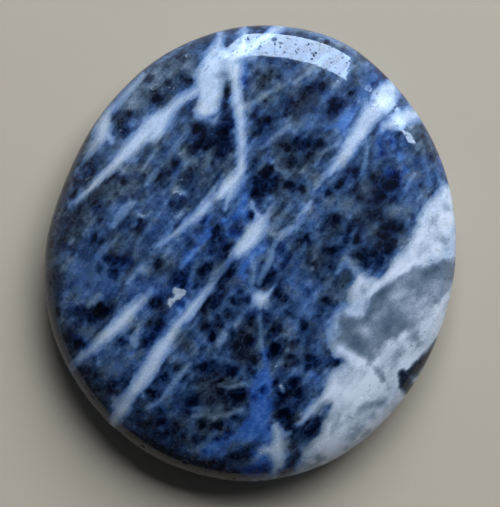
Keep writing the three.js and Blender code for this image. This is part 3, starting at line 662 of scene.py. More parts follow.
class StageSettings(bpy.types.PropertyGroup):
    """The floor, the lights and the camera."""

    floor_colour: FloatVectorProperty(
        name="Floor Colour",
        description="Colour of the floor",
        default=(0.42, 0.395, 0.345),
        size=3,
        subtype="COLOR",
    )
    window_power: FloatProperty(
        name="Window Power",
        description="Power of a square metre of the window that shows in the polish",
        default=60,
        min=0,
    )
    key_power: FloatProperty(
        name="Key Power",
        description="Power of the soft light on the stone",
        default=8.4,
        min=0,
        unit="POWER",
    )
    room_strength: FloatProperty(
        name="Room Light", description="Strength of the light from all round", default=0.3, min=0
    )
    camera_height: length_setting("Camera Height", "Height of the camera over the floor", 0.46)
    view_height: length_setting("View Height", "Height of the picture at the level of the girdle", 59.5 * MM)


def shown(settings):
    """The settings of a group that a user would change, as Blender describes them."""
    return [item for item in settings.bl_rna.properties if item.identifier not in ("rna_type", "name")]


class NodeTree:
    """Adds nodes to a node tree. An input takes a number, a colour, a vector or another node's socket."""

    def __init__(self, tree):
        self.tree = tree

    def feed(self, socket, value):
        if isinstance(value, bpy.types.NodeSocket):
            self.tree.links.new(value, socket)
        else:
            socket.default_value = value

    def node(self, kind, inputs=None, **settings):
        made = self.tree.nodes.new(kind)
        for name, value in settings.items():
            setattr(made, name, value)
        for name, value in (inputs or {}).items():
            self.feed(made.inputs[name], value)
        return made

    def math(self, operation, *values, clamp=False):
        made = self.node("ShaderNodeMath", operation=operation, use_clamp=clamp)
        for socket, value in zip(made.inputs, values):
            self.feed(socket, value)
        return made.outputs[0]

    def total(self, *values):
        """The sum of the values."""
        return reduce(lambda first, second: self.math("ADD", first, second), values)

    def times(self, *values):
        """The product of the values."""
        return reduce(lambda first, second: self.math("MULTIPLY", first, second), values)

    def vector(self, operation, *values, out="Vector", scale=None):
        made = self.node("ShaderNodeVectorMath", operation=operation)
        for socket, value in zip(made.inputs, values):
            self.feed(socket, value)
        if scale is not None:
            self.feed(made.inputs["Scale"], scale)
        return made.outputs[out]

    def remap(self, value, low, high, to_low=0.0, to_high=1.0, smooth=True):
        made = self.node(
            "ShaderNodeMapRange",
            {"Value": value, "From Min": low, "From Max": high, "To Min": to_low, "To Max": to_high},
            interpolation_type="SMOOTHSTEP" if smooth else "LINEAR",
        )
        return made.outputs["Result"]

    def mix(self, factor, first, second):
        made = self.node("ShaderNodeMix", data_type="FLOAT")
        for index, value in ((0, factor), (2, first), (3, second)):
            self.feed(made.inputs[index], value)
        return made.outputs[0]

    def mix_colour(self, factor, first, second):
        made = self.node("ShaderNodeMix", data_type="RGBA")
        for index, value in ((0, factor), (6, first), (7, second)):
            self.feed(made.inputs[index], value)
        return made.outputs[2]

    def noise(self, place, scale, detail=2.0, roughness=0.5, out=0):
        settings = {"Vector": place, "Scale": scale, "Detail": detail, "Roughness": roughness}
        return self.node("ShaderNodeTexNoise", settings).outputs[out]

    def position(self):
        return self.node("GeometryNodeInputPosition").outputs[0]


def new_group(name, kind, inputs, outputs):
    """A node group with named sockets. Returns its nodes, its inputs and its outputs."""
    tree = bpy.data.node_groups.new(name, kind)
    for socket_name, socket_kind, *default in inputs:
        made = tree.interface.new_socket(socket_name, in_out="INPUT", socket_type=socket_kind)
        if default:
            made.default_value = default[0]
    for socket_name, socket_kind in outputs:
        tree.interface.new_socket(socket_name, in_out="OUTPUT", socket_type=socket_kind)
    nodes = NodeTree(tree)
    return nodes, nodes.node("NodeGroupInput").outputs, nodes.node("NodeGroupOutput").inputs


# Geometry.

SOCKET_KINDS = {"INT": "NodeSocketInt", "FLOAT": "NodeSocketFloat"}
JOIN_DISTANCE = 0.002 * MM
# The rows of faces are drawn apart towards the rim, so that they stay even where the stone curves down.
RIM_SHARE, RIM_POWER = 0.38, 5.0
PIT_DENSITY = 3e6  # for each square metre, before the pit spacing thins them out
PIT_RARITY = 2.5  # a higher power leaves fewer wide pits
CROWN_FADE = 2 * MM  # the pits come in over this height, from the girdle up
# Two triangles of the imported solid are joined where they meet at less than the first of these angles
# and their corners are square to within the second.
JOIN_FACE_ANGLE, JOIN_SHAPE_ANGLE = math.radians(30), math.radians(40)


def pebble_side(nodes, given, target, sign):
    """One side of the stone: a square grid drawn out to a dish, whose points then meet the target."""
    count = nodes.math("ADD", given["Cells Across"], 1.0)
    grid = nodes.node(
        "GeometryNodeMeshGrid", {"Size X": 2.0, "Size Y": 2.0, "Vertices X": count, "Vertices Y": count}
    ).outputs["Mesh"]
    corner = nodes.node("ShaderNodeSeparateXYZ", {0: nodes.position()}).outputs

    def round_off(along, across):
        """One coordinate of the square's corner, moved so that the square becomes a disc."""
        shrink = nodes.math("SQRT", nodes.math("MULTIPLY_ADD", nodes.times(across, across), -0.5, 1.0))
        return nodes.times(along, shrink)

    x, y = round_off(corner["X"], corner["Y"]), round_off(corner["Y"], corner["X"])
    flat = nodes.node("ShaderNodeCombineXYZ", {"X": x, "Y": y}).outputs[0]
    radius = nodes.vector("LENGTH", flat, out="Value")
    drawn_apart = nodes.math("POWER", radius, RIM_POWER)
    share = nodes.math("MULTIPLY_ADD", drawn_apart, RIM_SHARE, nodes.times(radius, 1 - RIM_SHARE))
    angle = nodes.times(share, math.pi / 2)
    outwards = nodes.vector("SCALE", nodes.vector("NORMALIZE", flat), scale=nodes.math("SINE", angle))
    rise = nodes.times(nodes.math("COSINE", angle), sign)
    upwards = nodes.node("ShaderNodeCombineXYZ", {"Z": rise}).outputs[0]
    box = nodes.node("GeometryNodeBoundBox", {"Geometry": target}).outputs
    size = nodes.vector("SUBTRACT", box["Max"], box["Min"])
    middle = nodes.vector("SCALE", nodes.vector("ADD", box["Max"], box["Min"]), scale=0.5)
    hit = nodes.node(
        "GeometryNodeRaycast",
        {
            "Target Geometry": target,
            "Source Position": middle,
            "Ray Direction": nodes.vector("MULTIPLY", nodes.vector("ADD", outwards, upwards), size),
            "Ray Length": 1.0,
        },
    ).outputs["Hit Position"]
    side = nodes.node("GeometryNodeSetPosition", {"Geometry": grid, "Position": hit}).outputs[0]
    return side if sign > 0 else nodes.node("GeometryNodeFlipFaces", {"Mesh": side}).outputs[0]


def moved_out(nodes, mesh, distance):
    """The mesh with its points moved along their normals."""
    normal = nodes.node("GeometryNodeInputNormal").outputs[0]
    offset = nodes.vector("SCALE", normal, scale=distance)
    return nodes.node("GeometryNodeSetPosition", {"Geometry": mesh, "Offset": offset}).outputs[0]


def pebble_tree(sizes):
    """Remakes a coarse solid stone as one even, smooth, closed mesh with slight waves and polishing pits.

    It has an input for each of the stone's sizes, with the same name and default.
    """
    nodes, given, result = new_group(
        "Polished Pebble",
        "GeometryNodeTree",
        (
            ("Solid", "NodeSocketGeometry"),
            *((size.name, SOCKET_KINDS[size.type], size.default) for size in sizes),
            ("Finish", "NodeSocketMaterial"),
        ),
        (("Stone", "NodeSocketGeometry"),),
    )
    target = nodes.node("GeometryNodeSubdivisionSurface", {"Mesh": given["Solid"], "Level": 3}).outputs[0]
    both = nodes.node("GeometryNodeJoinGeometry")
    for sign in (1.0, -1.0):
        nodes.tree.links.new(pebble_side(nodes, given, target, sign), both.inputs[0])
    closed = nodes.node(
        "GeometryNodeMergeByDistance", {"Geometry": both.outputs[0], "Distance": JOIN_DISTANCE}
    ).outputs[0]
    evened = nodes.node(
        "GeometryNodeBlurAttribute",
        {"Value": nodes.position(), "Iterations": given["Smoothing"]},
        data_type="FLOAT_VECTOR",
    ).outputs[0]
    smooth = nodes.node("GeometryNodeSetPosition", {"Geometry": closed, "Position": evened}).outputs[0]

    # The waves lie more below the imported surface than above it.
    wave = nodes.noise(nodes.position(), nodes.math("DIVIDE", 1.0, given["Wave Length"]), detail=1.0)
    level = nodes.math("MULTIPLY_ADD", wave, 2.0, -1.3)
    waved = moved_out(nodes, smooth, nodes.times(level, given["Wave Height"]))

    scattered = nodes.node(
        "GeometryNodeDistributePointsOnFaces",
        {
            "Mesh": waved,
            "Distance Min": given["Pit Spacing"],
            "Density Max": PIT_DENSITY,
            "Seed": given["Seed"],
        },
        distribute_method="POISSON",
    ).outputs["Points"]
    near = nodes.node("GeometryNodeProximity", {0: scattered}, target_element="POINTS").outputs["Distance"]
    which = nodes.node("GeometryNodeSampleNearest", {"Geometry": scattered}, domain="POINT").outputs[0]
    luck = nodes.node(
        "FunctionNodeRandomValue", {"ID": which, "Seed": given["Seed"]}, data_type="FLOAT"
    ).outputs[1]
    width = nodes.times(nodes.math("POWER", luck, PIT_RARITY), given["Pit Radius"])
    bowl = nodes.remap(near, nodes.times(width, 0.25), width, 1.0, 0.0)
    corner = nodes.node("ShaderNodeSeparateXYZ", {0: nodes.position()}).outputs
    crown = nodes.remap(corner["Z"], GIRDLE_LEVEL, GIRDLE_LEVEL + CROWN_FADE)
    depth = nodes.times(bowl, nodes.times(luck, crown), given["Pit Depth"], -1.0)
    pitted = moved_out(nodes, waved, depth)

    # Nothing sinks into the floor.
    held = {"X": corner["X"], "Y": corner["Y"], "Z": nodes.math("MAXIMUM", corner["Z"], 0.0)}
    lifted = nodes.node("ShaderNodeCombineXYZ", held).outputs[0]
    resting = nodes.node("GeometryNodeSetPosition", {"Geometry": pitted, "Position": lifted}).outputs[0]
    soft = nodes.node("GeometryNodeSetShadeSmooth", {"Geometry": resting}).outputs[0]
    real = nodes.node("GeometryNodeRealizeInstances", {0: soft}).outputs[0]
    finished = nodes.node("GeometryNodeSetMaterial", {"Geometry": real, "Material": given["Finish"]})
    nodes.feed(result["Stone"], finished.outputs[0])
    return nodes.tree


def merged_solid(node):
    """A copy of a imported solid's mesh with its triangles joined up."""
    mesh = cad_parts[node].data.copy()
    mesh.materials.clear()
    solid = bmesh.new()
    solid.from_mesh(mesh)
    bmesh.ops.remove_doubles(solid, verts=solid.verts, dist=JOIN_DISTANCE)
    bmesh.ops.join_triangles(
        solid,
        faces=solid.faces,
        angle_face_threshold=JOIN_FACE_ANGLE,
        angle_shape_threshold=JOIN_SHAPE_ANGLE,
    )
    bmesh.ops.recalc_face_normals(solid, faces=solid.faces)
    solid.to_mesh(mesh)
    solid.free()
    return mesh


def grown_mesh(name, start, tree, values):
    """The plain mesh that a Geometry Nodes tree makes of a starting mesh."""
    carrier = bpy.data.objects.new(name, start)
    bpy.context.scene.collection.objects.link(carrier)
    modifier = carrier.modifiers.new(tree.name, "NODES")
    modifier.node_group = tree
    sockets = {item.name: item.identifier for item in tree.interface.items_tree if item.in_out == "INPUT"}
    for socket_name, value in values.items():
        modifier[sockets[socket_name]] = value
    evaluated = carrier.evaluated_get(bpy.context.evaluated_depsgraph_get())
    mesh = bpy.data.meshes.new_from_object(evaluated)
    carrier.modifiers.clear()
    bpy.data.objects.remove(carrier)
    return mesh


PATCH_INSET = 0.1  # how far, in millimetres, an area's edge lies inside its corners
FARTHEST = 3.0  # how far from a marking, in millimetres, its distance is still measured
# The bends by which the markings stray from their strokes: each one's length in millimetres, and share.
BENDS = ((2.4, 1.0), (0.8, 0.35))


class Sheets:
    """The markings as sheets that run through the rock.

    They stand upright in the crown, where they are drawn from above, and slant away under the girdle.
    """

    def __init__(self, mesh, settings):
        count = len(mesh.vertices)
        flat = np.empty(count * 3)
        mesh.vertices.foreach_get("co", flat)
        places = flat.reshape(count, 3) / MM
        girdle = places[places[:, 0].argmax(), 2]
        depth = np.clip(girdle - places[:, 2], 0, None)
        self.places = places[:, :2] + depth[:, None] * np.array(settings.dip)
        stray = settings.wander / MM + depth * settings.loosening
        noise.seed_set(settings.seed)
        for length, share in BENDS:
            bend = np.array([noise.noise_vector(Vector(place) / length)[:2] for place in places])
            self.places += bend * stray[:, None] * share

    def distances(self, strokes, patches):
        """How far each place lies outside the nearest marking, and less than nothing inside one."""
        nearest = np.full(len(self.places), FARTHEST)
        for stroke in strokes:
            *points, widths = np.array(stroke * 2 if len(stroke) == 1 else stroke).T
            points = np.array(points).T
            for start, end, wide, wider in zip(points, points[1:], widths, widths[1:]):
                self.near_segment(nearest, start, end, wide, wider)
        for patch in patches:
            self.near_patch(nearest, np.array(patch))
        return nearest

    def near_segment(self, nearest, start, end, wide, wider):
        """Lowers the distances round one segment of a stroke, with its half-widths at both ends."""
        reach = FARTHEST + max(wide, wider)
        low, high = np.minimum(start, end) - reach, np.maximum(start, end) + reach
        near = np.flatnonzero(np.all((self.places > low) & (self.places < high), axis=1))
        along = end - start
        offset = self.places[near] - start
        share = np.clip(offset @ along / max(along @ along, 1e-9), 0, 1)
        gap = np.hypot(*(offset - share[:, None] * along).T)
        nearest[near] = np.minimum(nearest[near], gap - (wide + (wider - wide) * share))

    def near_patch(self, nearest, corners):
        """Lowers the distances in and round an area."""
        border = np.full(len(self.places), FARTHEST)
        inside = np.zeros(len(self.places), dtype=bool)
        x, y = self.places.T
        for start, end in zip(corners, np.roll(corners, -1, axis=0)):
            self.near_segment(border, start, end, 0, 0)
            crossed = (start[1] > y) != (end[1] > y)
            rise = end[1] - start[1] if end[1] != start[1] else 1
            inside ^= crossed & (x < start[0] + (y - start[1]) * (end[0] - start[0]) / rise)
        np.minimum(nearest, np.where(inside, -border, border) + PATCH_INSET, out=nearest)


def mark(mesh, settings):
    """Gives the mesh an attribute for each kind of marking."""
    sheets = Sheets(mesh, settings)
    for kind, (strokes, patches) in MARKINGS.items():
        attribute = mesh.attributes.new(kind, "FLOAT", "POINT")
        attribute.data.foreach_set("value", sheets.distances(strokes, patches).astype(np.float32))


# Finish.

# Colours of the rock from its darkest to its palest tone, as screen values of red, green and blue.
SLATE_TONES = (
    (0.0, (0, 3, 15)), (0.1, (2, 12, 37)), (0.2, (13, 29, 60)), (0.4, (38, 62, 98)),
    (0.6, (66, 95, 136)), (0.8, (109, 137, 176)), (0.9, (140, 167, 204)), (1.0, (169, 195, 230)),
)
ROYAL_TONES = (
    (0.0, (0, 3, 20)), (0.1, (1, 11, 46)), (0.2, (6, 25, 80)), (0.4, (20, 56, 128)),
    (0.6, (46, 92, 170)), (0.8, (88, 133, 200)), (0.9, (126, 163, 216)), (1.0, (160, 193, 234)),
)
OLIVE_TONES = (
    (0.0, (3, 6, 12)), (0.1, (10, 16, 27)), (0.2, (24, 33, 47)), (0.4, (51, 66, 82)),
    (0.6, (81, 99, 116)), (0.8, (123, 141, 159)), (0.9, (153, 171, 189)), (1.0, (182, 197, 212)),
)
ASHEN_TONES = (
    (0.0, (4, 8, 20)), (0.1, (14, 21, 37)), (0.2, (28, 38, 58)), (0.4, (58, 77, 101)),
    (0.6, (95, 115, 138)), (0.8, (148, 166, 190)), (0.9, (178, 195, 219)), (1.0, (201, 216, 239)),
)


def linear(colour):
    """A screen colour, from 0 to 255, as the shader's own values."""
    shares = (value / 255 for value in colour)
    return tuple(share / 12.92 if share <= 0.04045 else ((share + 0.055) / 1.055) ** 2.4 for share in shares)


def rock_grains_group():
    """Dark rounded grains, some darker than others, with a web of paler rock between them."""
    nodes, given, result = new_group(
        "Rock Grains",
        "ShaderNodeTree",
        (
            ("Place", "NodeSocketVector"),
            ("Grain Size", "NodeSocketFloat", 1.8),
            ("Web Width", "NodeSocketFloat", 0.25),
            ("Share", "NodeSocketFloat", 0.6),
            ("Warp", "NodeSocketFloat", 1.0),
        ),
        (("Grain", "NodeSocketFloat"), ("Web", "NodeSocketFloat")),
    )
    place = given["Place"]
    for scale, reach in ((0.6, 0.7), (2.2, 0.22), (6.0, 0.07)):
        sway = nodes.noise(given["Place"], scale, detail=1.0, out="Color")
        sway = nodes.vector("SUBTRACT", sway, (0.5, 0.5, 0.5))
        amount = nodes.times(given["Warp"], reach)
        place = nodes.vector("ADD", place, nodes.vector("SCALE", sway, scale=amount))
    sized = nodes.math("DIVIDE", 1.0, given["Grain Size"])
    cell = nodes.node("ShaderNodeTexVoronoi", {"Vector": place, "Scale": sized})
    edge = nodes.node("ShaderNodeTexVoronoi", {"Vector": place, "Scale": sized}, feature="DISTANCE_TO_EDGE")
    luck = nodes.node("ShaderNodeSeparateColor", {"Color": cell.outputs["Color"]}).outputs
    reach = nodes.remap(luck["Green"], 0.0, 1.0, 0.42, 0.72, smooth=False)
    lump = nodes.remap(cell.outputs["Distance"], nodes.times(reach, 0.4), reach, 1.0, 0.0)
    gap = nodes.times(edge.outputs["Distance"], given["Grain Size"])
    inside = nodes.remap(gap, nodes.times(given["Web Width"], 0.3), nodes.times(given["Web Width"], 1.6))
    plain = nodes.math("SUBTRACT", 1.0, given["Share"])
    dark = nodes.remap(luck["Red"], plain, nodes.math("ADD", plain, 0.5))
    nodes.feed(result["Grain"], nodes.times(inside, lump, dark))
    nodes.feed(result["Web"], nodes.remap(gap, 0.0, nodes.times(given["Web Width"], 0.7), 1.0, 0.0))
    return nodes.tree


def feathered_edge_group():
    """The area inside a marking, with an edge that frays into the rock."""
    nodes, given, result = new_group(
        "Feathered Edge",
        "ShaderNodeTree",
        (
            ("Place", "NodeSocketVector"),
            ("Distance", "NodeSocketFloat", 1.0),
            ("Fray", "NodeSocketFloat", 0.3),
            ("Fray Length", "NodeSocketFloat", 0.7),
            ("Softness", "NodeSocketFloat", 0.2),
        ),
        (("Mask", "NodeSocketFloat"),),
    )
    ragged = nodes.noise(given["Place"], nodes.math("DIVIDE", 1.0, given["Fray Length"]))
    swing = nodes.times(nodes.math("SUBTRACT", ragged, 0.5), nodes.times(given["Fray"], 4.0))
    edge = nodes.math("ADD", given["Distance"], swing)
    outer = given["Softness"]
    inner = nodes.times(outer, -1.0)
    nodes.feed(result["Mask"], nodes.remap(edge, inner, outer, 1.0, 0.0))
    return nodes.tree


def threads_group():
    """Thin pale threads that wander through the rock."""
    nodes, given, result = new_group(
        "Pale Threads",
        "ShaderNodeTree",
        (
            ("Place", "NodeSocketVector"),
            ("Spacing", "NodeSocketFloat", 3.0),
            ("Width", "NodeSocketFloat", 0.04),
        ),
        (("Mask", "NodeSocketFloat"),),
    )
    drift = nodes.noise(
        given["Place"], nodes.math("DIVIDE", 1.0, given["Spacing"]), detail=3.0, roughness=0.45
    )
    line = nodes.math("ABSOLUTE", nodes.math("SUBTRACT", drift, 0.5))
    crest = nodes.remap(line, 0.0, given["Width"], 1.0, 0.0)
    fade = nodes.remap(nodes.noise(given["Place"], 0.22, detail=1.0), 0.42, 0.6)
    nodes.feed(result["Mask"], nodes.times(crest, fade))
    return nodes.tree


def specks_group():
    """Sparse bright specks, where a cleavage face of a grain lies level with the polish; in the colour they
    are painted glints.
    """
    nodes, given, result = new_group(
        "Specks",
        "ShaderNodeTree",
        (
            ("Place", "NodeSocketVector"),
            ("Spacing", "NodeSocketFloat", 0.8),
            ("Share", "NodeSocketFloat", 0.2),
            ("Radius", "NodeSocketFloat", 0.12),
        ),
        (("Mask", "NodeSocketFloat"),),
    )
    sized = nodes.math("DIVIDE", 1.0, given["Spacing"])
    near = nodes.node("ShaderNodeTexVoronoi", {"Vector": given["Place"], "Scale": sized})
    luck = nodes.node("ShaderNodeSeparateColor", {"Color": near.outputs["Color"]}).outputs["Green"]
    chosen = nodes.math("LESS_THAN", luck, given["Share"])
    gap = nodes.times(near.outputs["Distance"], given["Spacing"])
    dot = nodes.remap(gap, nodes.times(given["Radius"], 0.4), given["Radius"], 1.0, 0.0)
    nodes.feed(result["Mask"], nodes.times(dot, chosen))
    return nodes.tree


# For each kind of marking, how far its edge frays, over what length, how soft it is, and how far it
# spreads past the strokes, in millimetres.
EDGES = {
    "white": (0.26, 0.9, 0.3, 0.14),
    "pale": (0.14, 0.8, 0.26, 0.08),
    "haze": (0.3, 0.9, 0.4, 0.0),
    "royal": (0.7, 1.2, 0.8, 0.0),
    "sky": (0.8, 1.2, 0.9, 0.0),
    "black": (0.36, 0.7, 0.5, 0.05),
    "slate": (0.6, 1.1, 0.7, 0.0),
    "smoky": (0.5, 1.1, 0.8, 0.0),
    "cloudy": (0.5, 1.1, 0.9, 0.0),
    "olive": (0.8, 1.2, 1.0, 0.0),
    "azure": (0.8, 1.2, 1.4, 0.0),
    "grey": (0.4, 1.0, 0.5, 0.0),
    "knob": (0.2, 0.8, 0.4, 0.0),
    "fleck": (0.12, 0.3, 0.12, 0.04),
    "ashen": (1.0, 2.0, 1.8, 0.0),
}


# How much further than across the grain the textures run into the depth.
TEXTURE_DEPTH = 1.3
# The worn band near the rim, by its height on the stone: it fades in over the lower pair of levels and
# out over the upper pair.
WORN_FROM, WORN_UP_TO = (5.4, 6.4), (8.6, 9.8)
PEEL_HEIGHT, HOLLOW_HEIGHT, PIT_HEIGHT = 0.008 * MM, 0.012 * MM, -0.05 * MM
SODALITE_IOR = 1.49


class StoneNodes(NodeTree):
    """The nodes of the stone's material. Places and lengths in it are in millimetres.

    A tone says how pale a place is, from 0 for black to 1, and the tone ramps give it its colour.
    """

    def __init__(self, tree, grain_angle):
        super().__init__(tree)
        self.grain_angle = grain_angle
        self.place = self.vector("SCALE", self.node("ShaderNodeTexCoord").outputs["Object"], scale=1 / MM)
        self.rounded = self.drawn_out(1.2)
        self.grained = self.drawn_out(1.8)
        self.specks_tree = specks_group()
        self.distance, self.mask = {}, {}
        self.read_markings()
        self.clouds = self.noise(self.rounded, 0.42, detail=3.0)
        self.mottle = self.noise(self.rounded, 0.95, detail=3.0, roughness=0.55)
        self.medium = self.noise(self.rounded, 0.8, detail=4.0, roughness=0.6)
        self.small = self.noise(self.place, 2.8, detail=4.0, roughness=0.68)
        self.streaks = self.noise(self.drawn_out(6.0), 1.5, detail=3.0)

    def drawn_out(self, length):
        """Places on which a texture comes out so many times as long along the grain."""
        made = self.node("ShaderNodeMapping", {"Vector": self.place}, vector_type="TEXTURE")
        made.inputs["Rotation"].default_value = (0, 0, self.grain_angle)
        made.inputs["Scale"].default_value = (length, 1.0, TEXTURE_DEPTH)
        return made.outputs[0]

    def placed(self, tree, **inputs):
        """The outputs of a node group that is placed in the material."""
        made = self.node("ShaderNodeGroup", node_tree=tree)
        for name, value in inputs.items():
            self.feed(made.inputs[name.replace("_", " ").title()], value)
        return made.outputs

    def specks(self, spacing, share, radius):
        made = self.placed(self.specks_tree, place=self.place, spacing=spacing, share=share, radius=radius)
        return made["Mask"]

    def read_markings(self):
        """Each kind of marking as a distance and as a mask with frayed edges."""
        edge_tree = feathered_edge_group()
        for kind, (fray, fray_length, softness, spread) in EDGES.items():
            attribute = self.node("ShaderNodeAttribute", attribute_name=kind, attribute_type="GEOMETRY")
            self.distance[kind] = attribute.outputs["Fac"]
            self.mask[kind] = self.placed(
                edge_tree,
                place=self.grained,
                distance=self.math("SUBTRACT", self.distance[kind], spread),
                fray=fray,
                fray_length=fray_length,
                softness=softness,
            )["Mask"]

    def tone_ramp(self, tone, tones):
        made = self.node("ShaderNodeValToRGB", {"Fac": tone})
        stops = made.color_ramp.elements
        for index, (place, colour) in enumerate(tones):
            stop = stops[index] if index < 2 else stops.new(place)
            stop.position = place
            stop.color = (*linear(colour), 1.0)
        return made.outputs["Color"]

    def swung(self, value, low, high):
        """A noise value spread evenly between two levels."""
        return self.remap(value, 0.25, 0.75, low, high, smooth=False)

    def toned(self, tone, kind, keep, level, strength=1.0):
        """The tone with a marking laid on: part of what was there, and a level of its own."""
        inside = self.math("MULTIPLY_ADD", tone, keep, level)
        return self.mix(self.times(self.mask[kind], strength), tone, inside)

    def rock_tone(self):
        """The dark rock: drifts and streaks, then grains with pale webs, then the pale veins."""
        broad = self.noise(self.rounded, 0.3, detail=3.0, roughness=0.55)
        drift = self.noise(self.rounded, 0.42)
        long_streaks = self.noise(self.drawn_out(9.0), 0.9)
        tone = self.total(
            self.swung(broad, 0.36, 0.55),
            self.remap(drift, 0.38, 0.6, -0.11, 0.05),
            self.remap(self.mottle, 0.36, 0.64, -0.1, 0.07),
            self.swung(self.streaks, -0.085, 0.085),
        )
        tone = self.math("MULTIPLY_ADD", self.remap(long_streaks, 0.52, 0.7), 0.14, tone)
        tone = self.toned(tone, "sky", 0.55, 0.28)
        tone = self.toned(tone, "royal", 0.5, 0.37)
        # Slate drifts, and the painted shade along the rim.
        tone = self.toned(tone, "slate", 0.6, -0.02)

        grains_tree = rock_grains_group()
        large = self.placed(
            grains_tree, place=self.rounded, grain_size=1.6, web_width=0.34, share=0.8, warp=1.1
        )
        little = self.placed(
            grains_tree, place=self.place, grain_size=0.85, web_width=0.2, share=0.7, warp=0.7
        )
        threads = self.placed(threads_group(), place=self.grained, spacing=1.9, width=0.05)["Mask"]
        tone = self.math("MULTIPLY_ADD", large["Grain"], -0.22, tone)
        tone = self.math("MULTIPLY_ADD", little["Grain"], -0.11, tone)
        inky = self.times(self.swung(self.medium, 0.6, 1.1), self.mix(large["Web"], 1.0, 0.75))
        # Black rock, and the painted shade along the lower rim.
        tone = self.toned(tone, "black", 0.25, -0.03, self.math("MINIMUM", inky, 1.0))
        netted = self.math("MAXIMUM", self.remap(broad, 0.52, 0.4), self.mask["slate"])
        web = self.times(self.math("MAXIMUM", large["Web"], threads), netted)
        tone = self.math("MULTIPLY_ADD", web, 0.06, tone)

        tone = self.toned(tone, "haze", 0.6, 0.3, 0.8)
        # The rock is paler beside the calcite.
        halo = self.remap(self.distance["white"], 0.0, 1.3, 0.16, 0.0)
        tone = self.math("ADD", tone, self.times(halo, self.remap(self.streaks, 0.35, 0.65)))
        # Pale veins, and the painted sheen along the top rim.
        tone = self.toned(tone, "pale", 0.3, 0.56, 0.94)
        return self.math("ADD", tone, self.swung(self.small, -0.085, 0.085))

    def calcite_tone(self):
        """The white calcite, which is paler the further it is from its edges."""
        depth = self.remap(self.distance["white"], -0.8, 0.2, 0.96, 0.76)
        depth = self.math("ADD", depth, self.remap(self.distance["white"], -2.2, -0.9, 0.02, 0.0))
        # Smoky calcite, and the painted shade along the rim of the white end.
        depth = self.math("MULTIPLY_ADD", self.mask["smoky"], -0.24, depth)
        clouded = self.remap(self.clouds, 0.32, 0.62, -0.14, 0.02)
        clouded = self.times(clouded, self.mix(self.mask["ashen"], 0.4, 0.9))
        grains, streaks = self.swung(self.small, -0.04, 0.04), self.swung(self.streaks, -0.05, 0.05)
        return self.total(depth, clouded, grains, streaks)

    def heart_tone(self):
        """The grey heart of the white end."""
        tone = self.math("ADD", self.swung(self.clouds, 0.52, 0.68), self.swung(self.small, -0.03, 0.03))
        tone = self.math("ADD", tone, self.swung(self.mottle, -0.05, 0.05))
        tone = self.math("MULTIPLY_ADD", self.mask["cloudy"], 0.19, tone)
        return self.math("MULTIPLY_ADD", self.mask["smoky"], -0.14, tone)

    def stone_tone(self, grey):
        """The whole stone, with painted glints and grit all over. Grey is the mask of its grey heart."""
        tone = self.mix(self.mask["white"], self.rock_tone(), self.calcite_tone())
        tone = self.mix(grey, tone, self.heart_tone())
        # The dark knob, and the painted shade along the rim beside it.
        tone = self.toned(tone, "knob", 0.1, 0.04)
        tone = self.toned(tone, "fleck", 0.3, 0.64)
        # The bright specks laid on the tone are painted glints.
        specks = self.specks(spacing=0.75, share=0.12, radius=0.1)
        grit = self.noise(self.place, 8.0, detail=1.0)
        tone = self.math("MULTIPLY_ADD", specks, 0.08, tone)
        return self.math("ADD", tone, self.swung(grit, -0.055, 0.055), clamp=True)

    def colour(self):
        """Slate rock, turned royal blue, olive or ashen by how much there is of each at a place."""
        hue = self.noise(self.rounded, 0.42, detail=4.0, roughness=0.62, out="Color")
        hues = self.node("ShaderNodeSeparateColor", {"Color": hue}).outputs
        white = self.mask["white"]
        grey = self.times(self.mask["grey"], white)

        blue = self.remap(hues["Red"], 0.46, 0.7, 0.0, 0.3)
        for kind, share in (("sky", 0.3), ("royal", 0.92), ("azure", 0.36)):
            blue = self.math("MAXIMUM", blue, self.times(self.mask[kind], share))
        blue = self.times(blue, self.math("SUBTRACT", 1.0, white))
        # A vein is bluer at its edges, where it is thin.
        fringe = self.times(self.remap(self.distance["white"], -0.7, 0.1, 0.0, 0.6), white)
        blue = self.math("ADD", blue, self.times(fringe, self.remap(self.distance["ashen"], -0.5, 1.5)))
        olive = self.remap(hues["Green"], 0.48, 0.68, 0.0, 0.7)
        # Olive rock, and the painted reflection along the left rim.
        olive = self.math("MAXIMUM", olive, self.times(self.mask["olive"], 0.8))
        olive = self.times(olive, self.math("SUBTRACT", 1.0, self.mask["royal"]))
        ashen = self.math("MAXIMUM", self.times(white, self.mix(self.mask["ashen"], 0.24, 1.0)), grey)
        ashen = self.math("MAXIMUM", ashen, self.mask["fleck"])

        tone = self.stone_tone(grey)
        colour = self.tone_ramp(tone, SLATE_TONES)
        for share, tones in ((blue, ROYAL_TONES), (olive, OLIVE_TONES), (ashen, ASHEN_TONES)):
            colour = self.mix_colour(share, colour, self.tone_ramp(tone, tones))
        return colour

    def worn(self):
        """Towards the rim the polish gives way to the marks of the grinding."""
        level = self.node("ShaderNodeSeparateXYZ", {0: self.place}).outputs["Z"]
        return self.times(self.remap(level, *WORN_UP_TO, 1.0, 0.0), self.remap(level, *WORN_FROM))

    def pits(self, worn):
        """Small, wide and ragged pits in the worn band."""
        pits = self.specks(spacing=0.8, share=0.26, radius=0.18)
        wide = self.specks(spacing=1.9, share=0.3, radius=0.45)
        eaten = self.remap(self.noise(self.place, 1.9, detail=5.0, roughness=0.75), 0.6, 0.64)
        return self.times(self.math("MAXIMUM", self.math("MAXIMUM", pits, wide), eaten), worn)

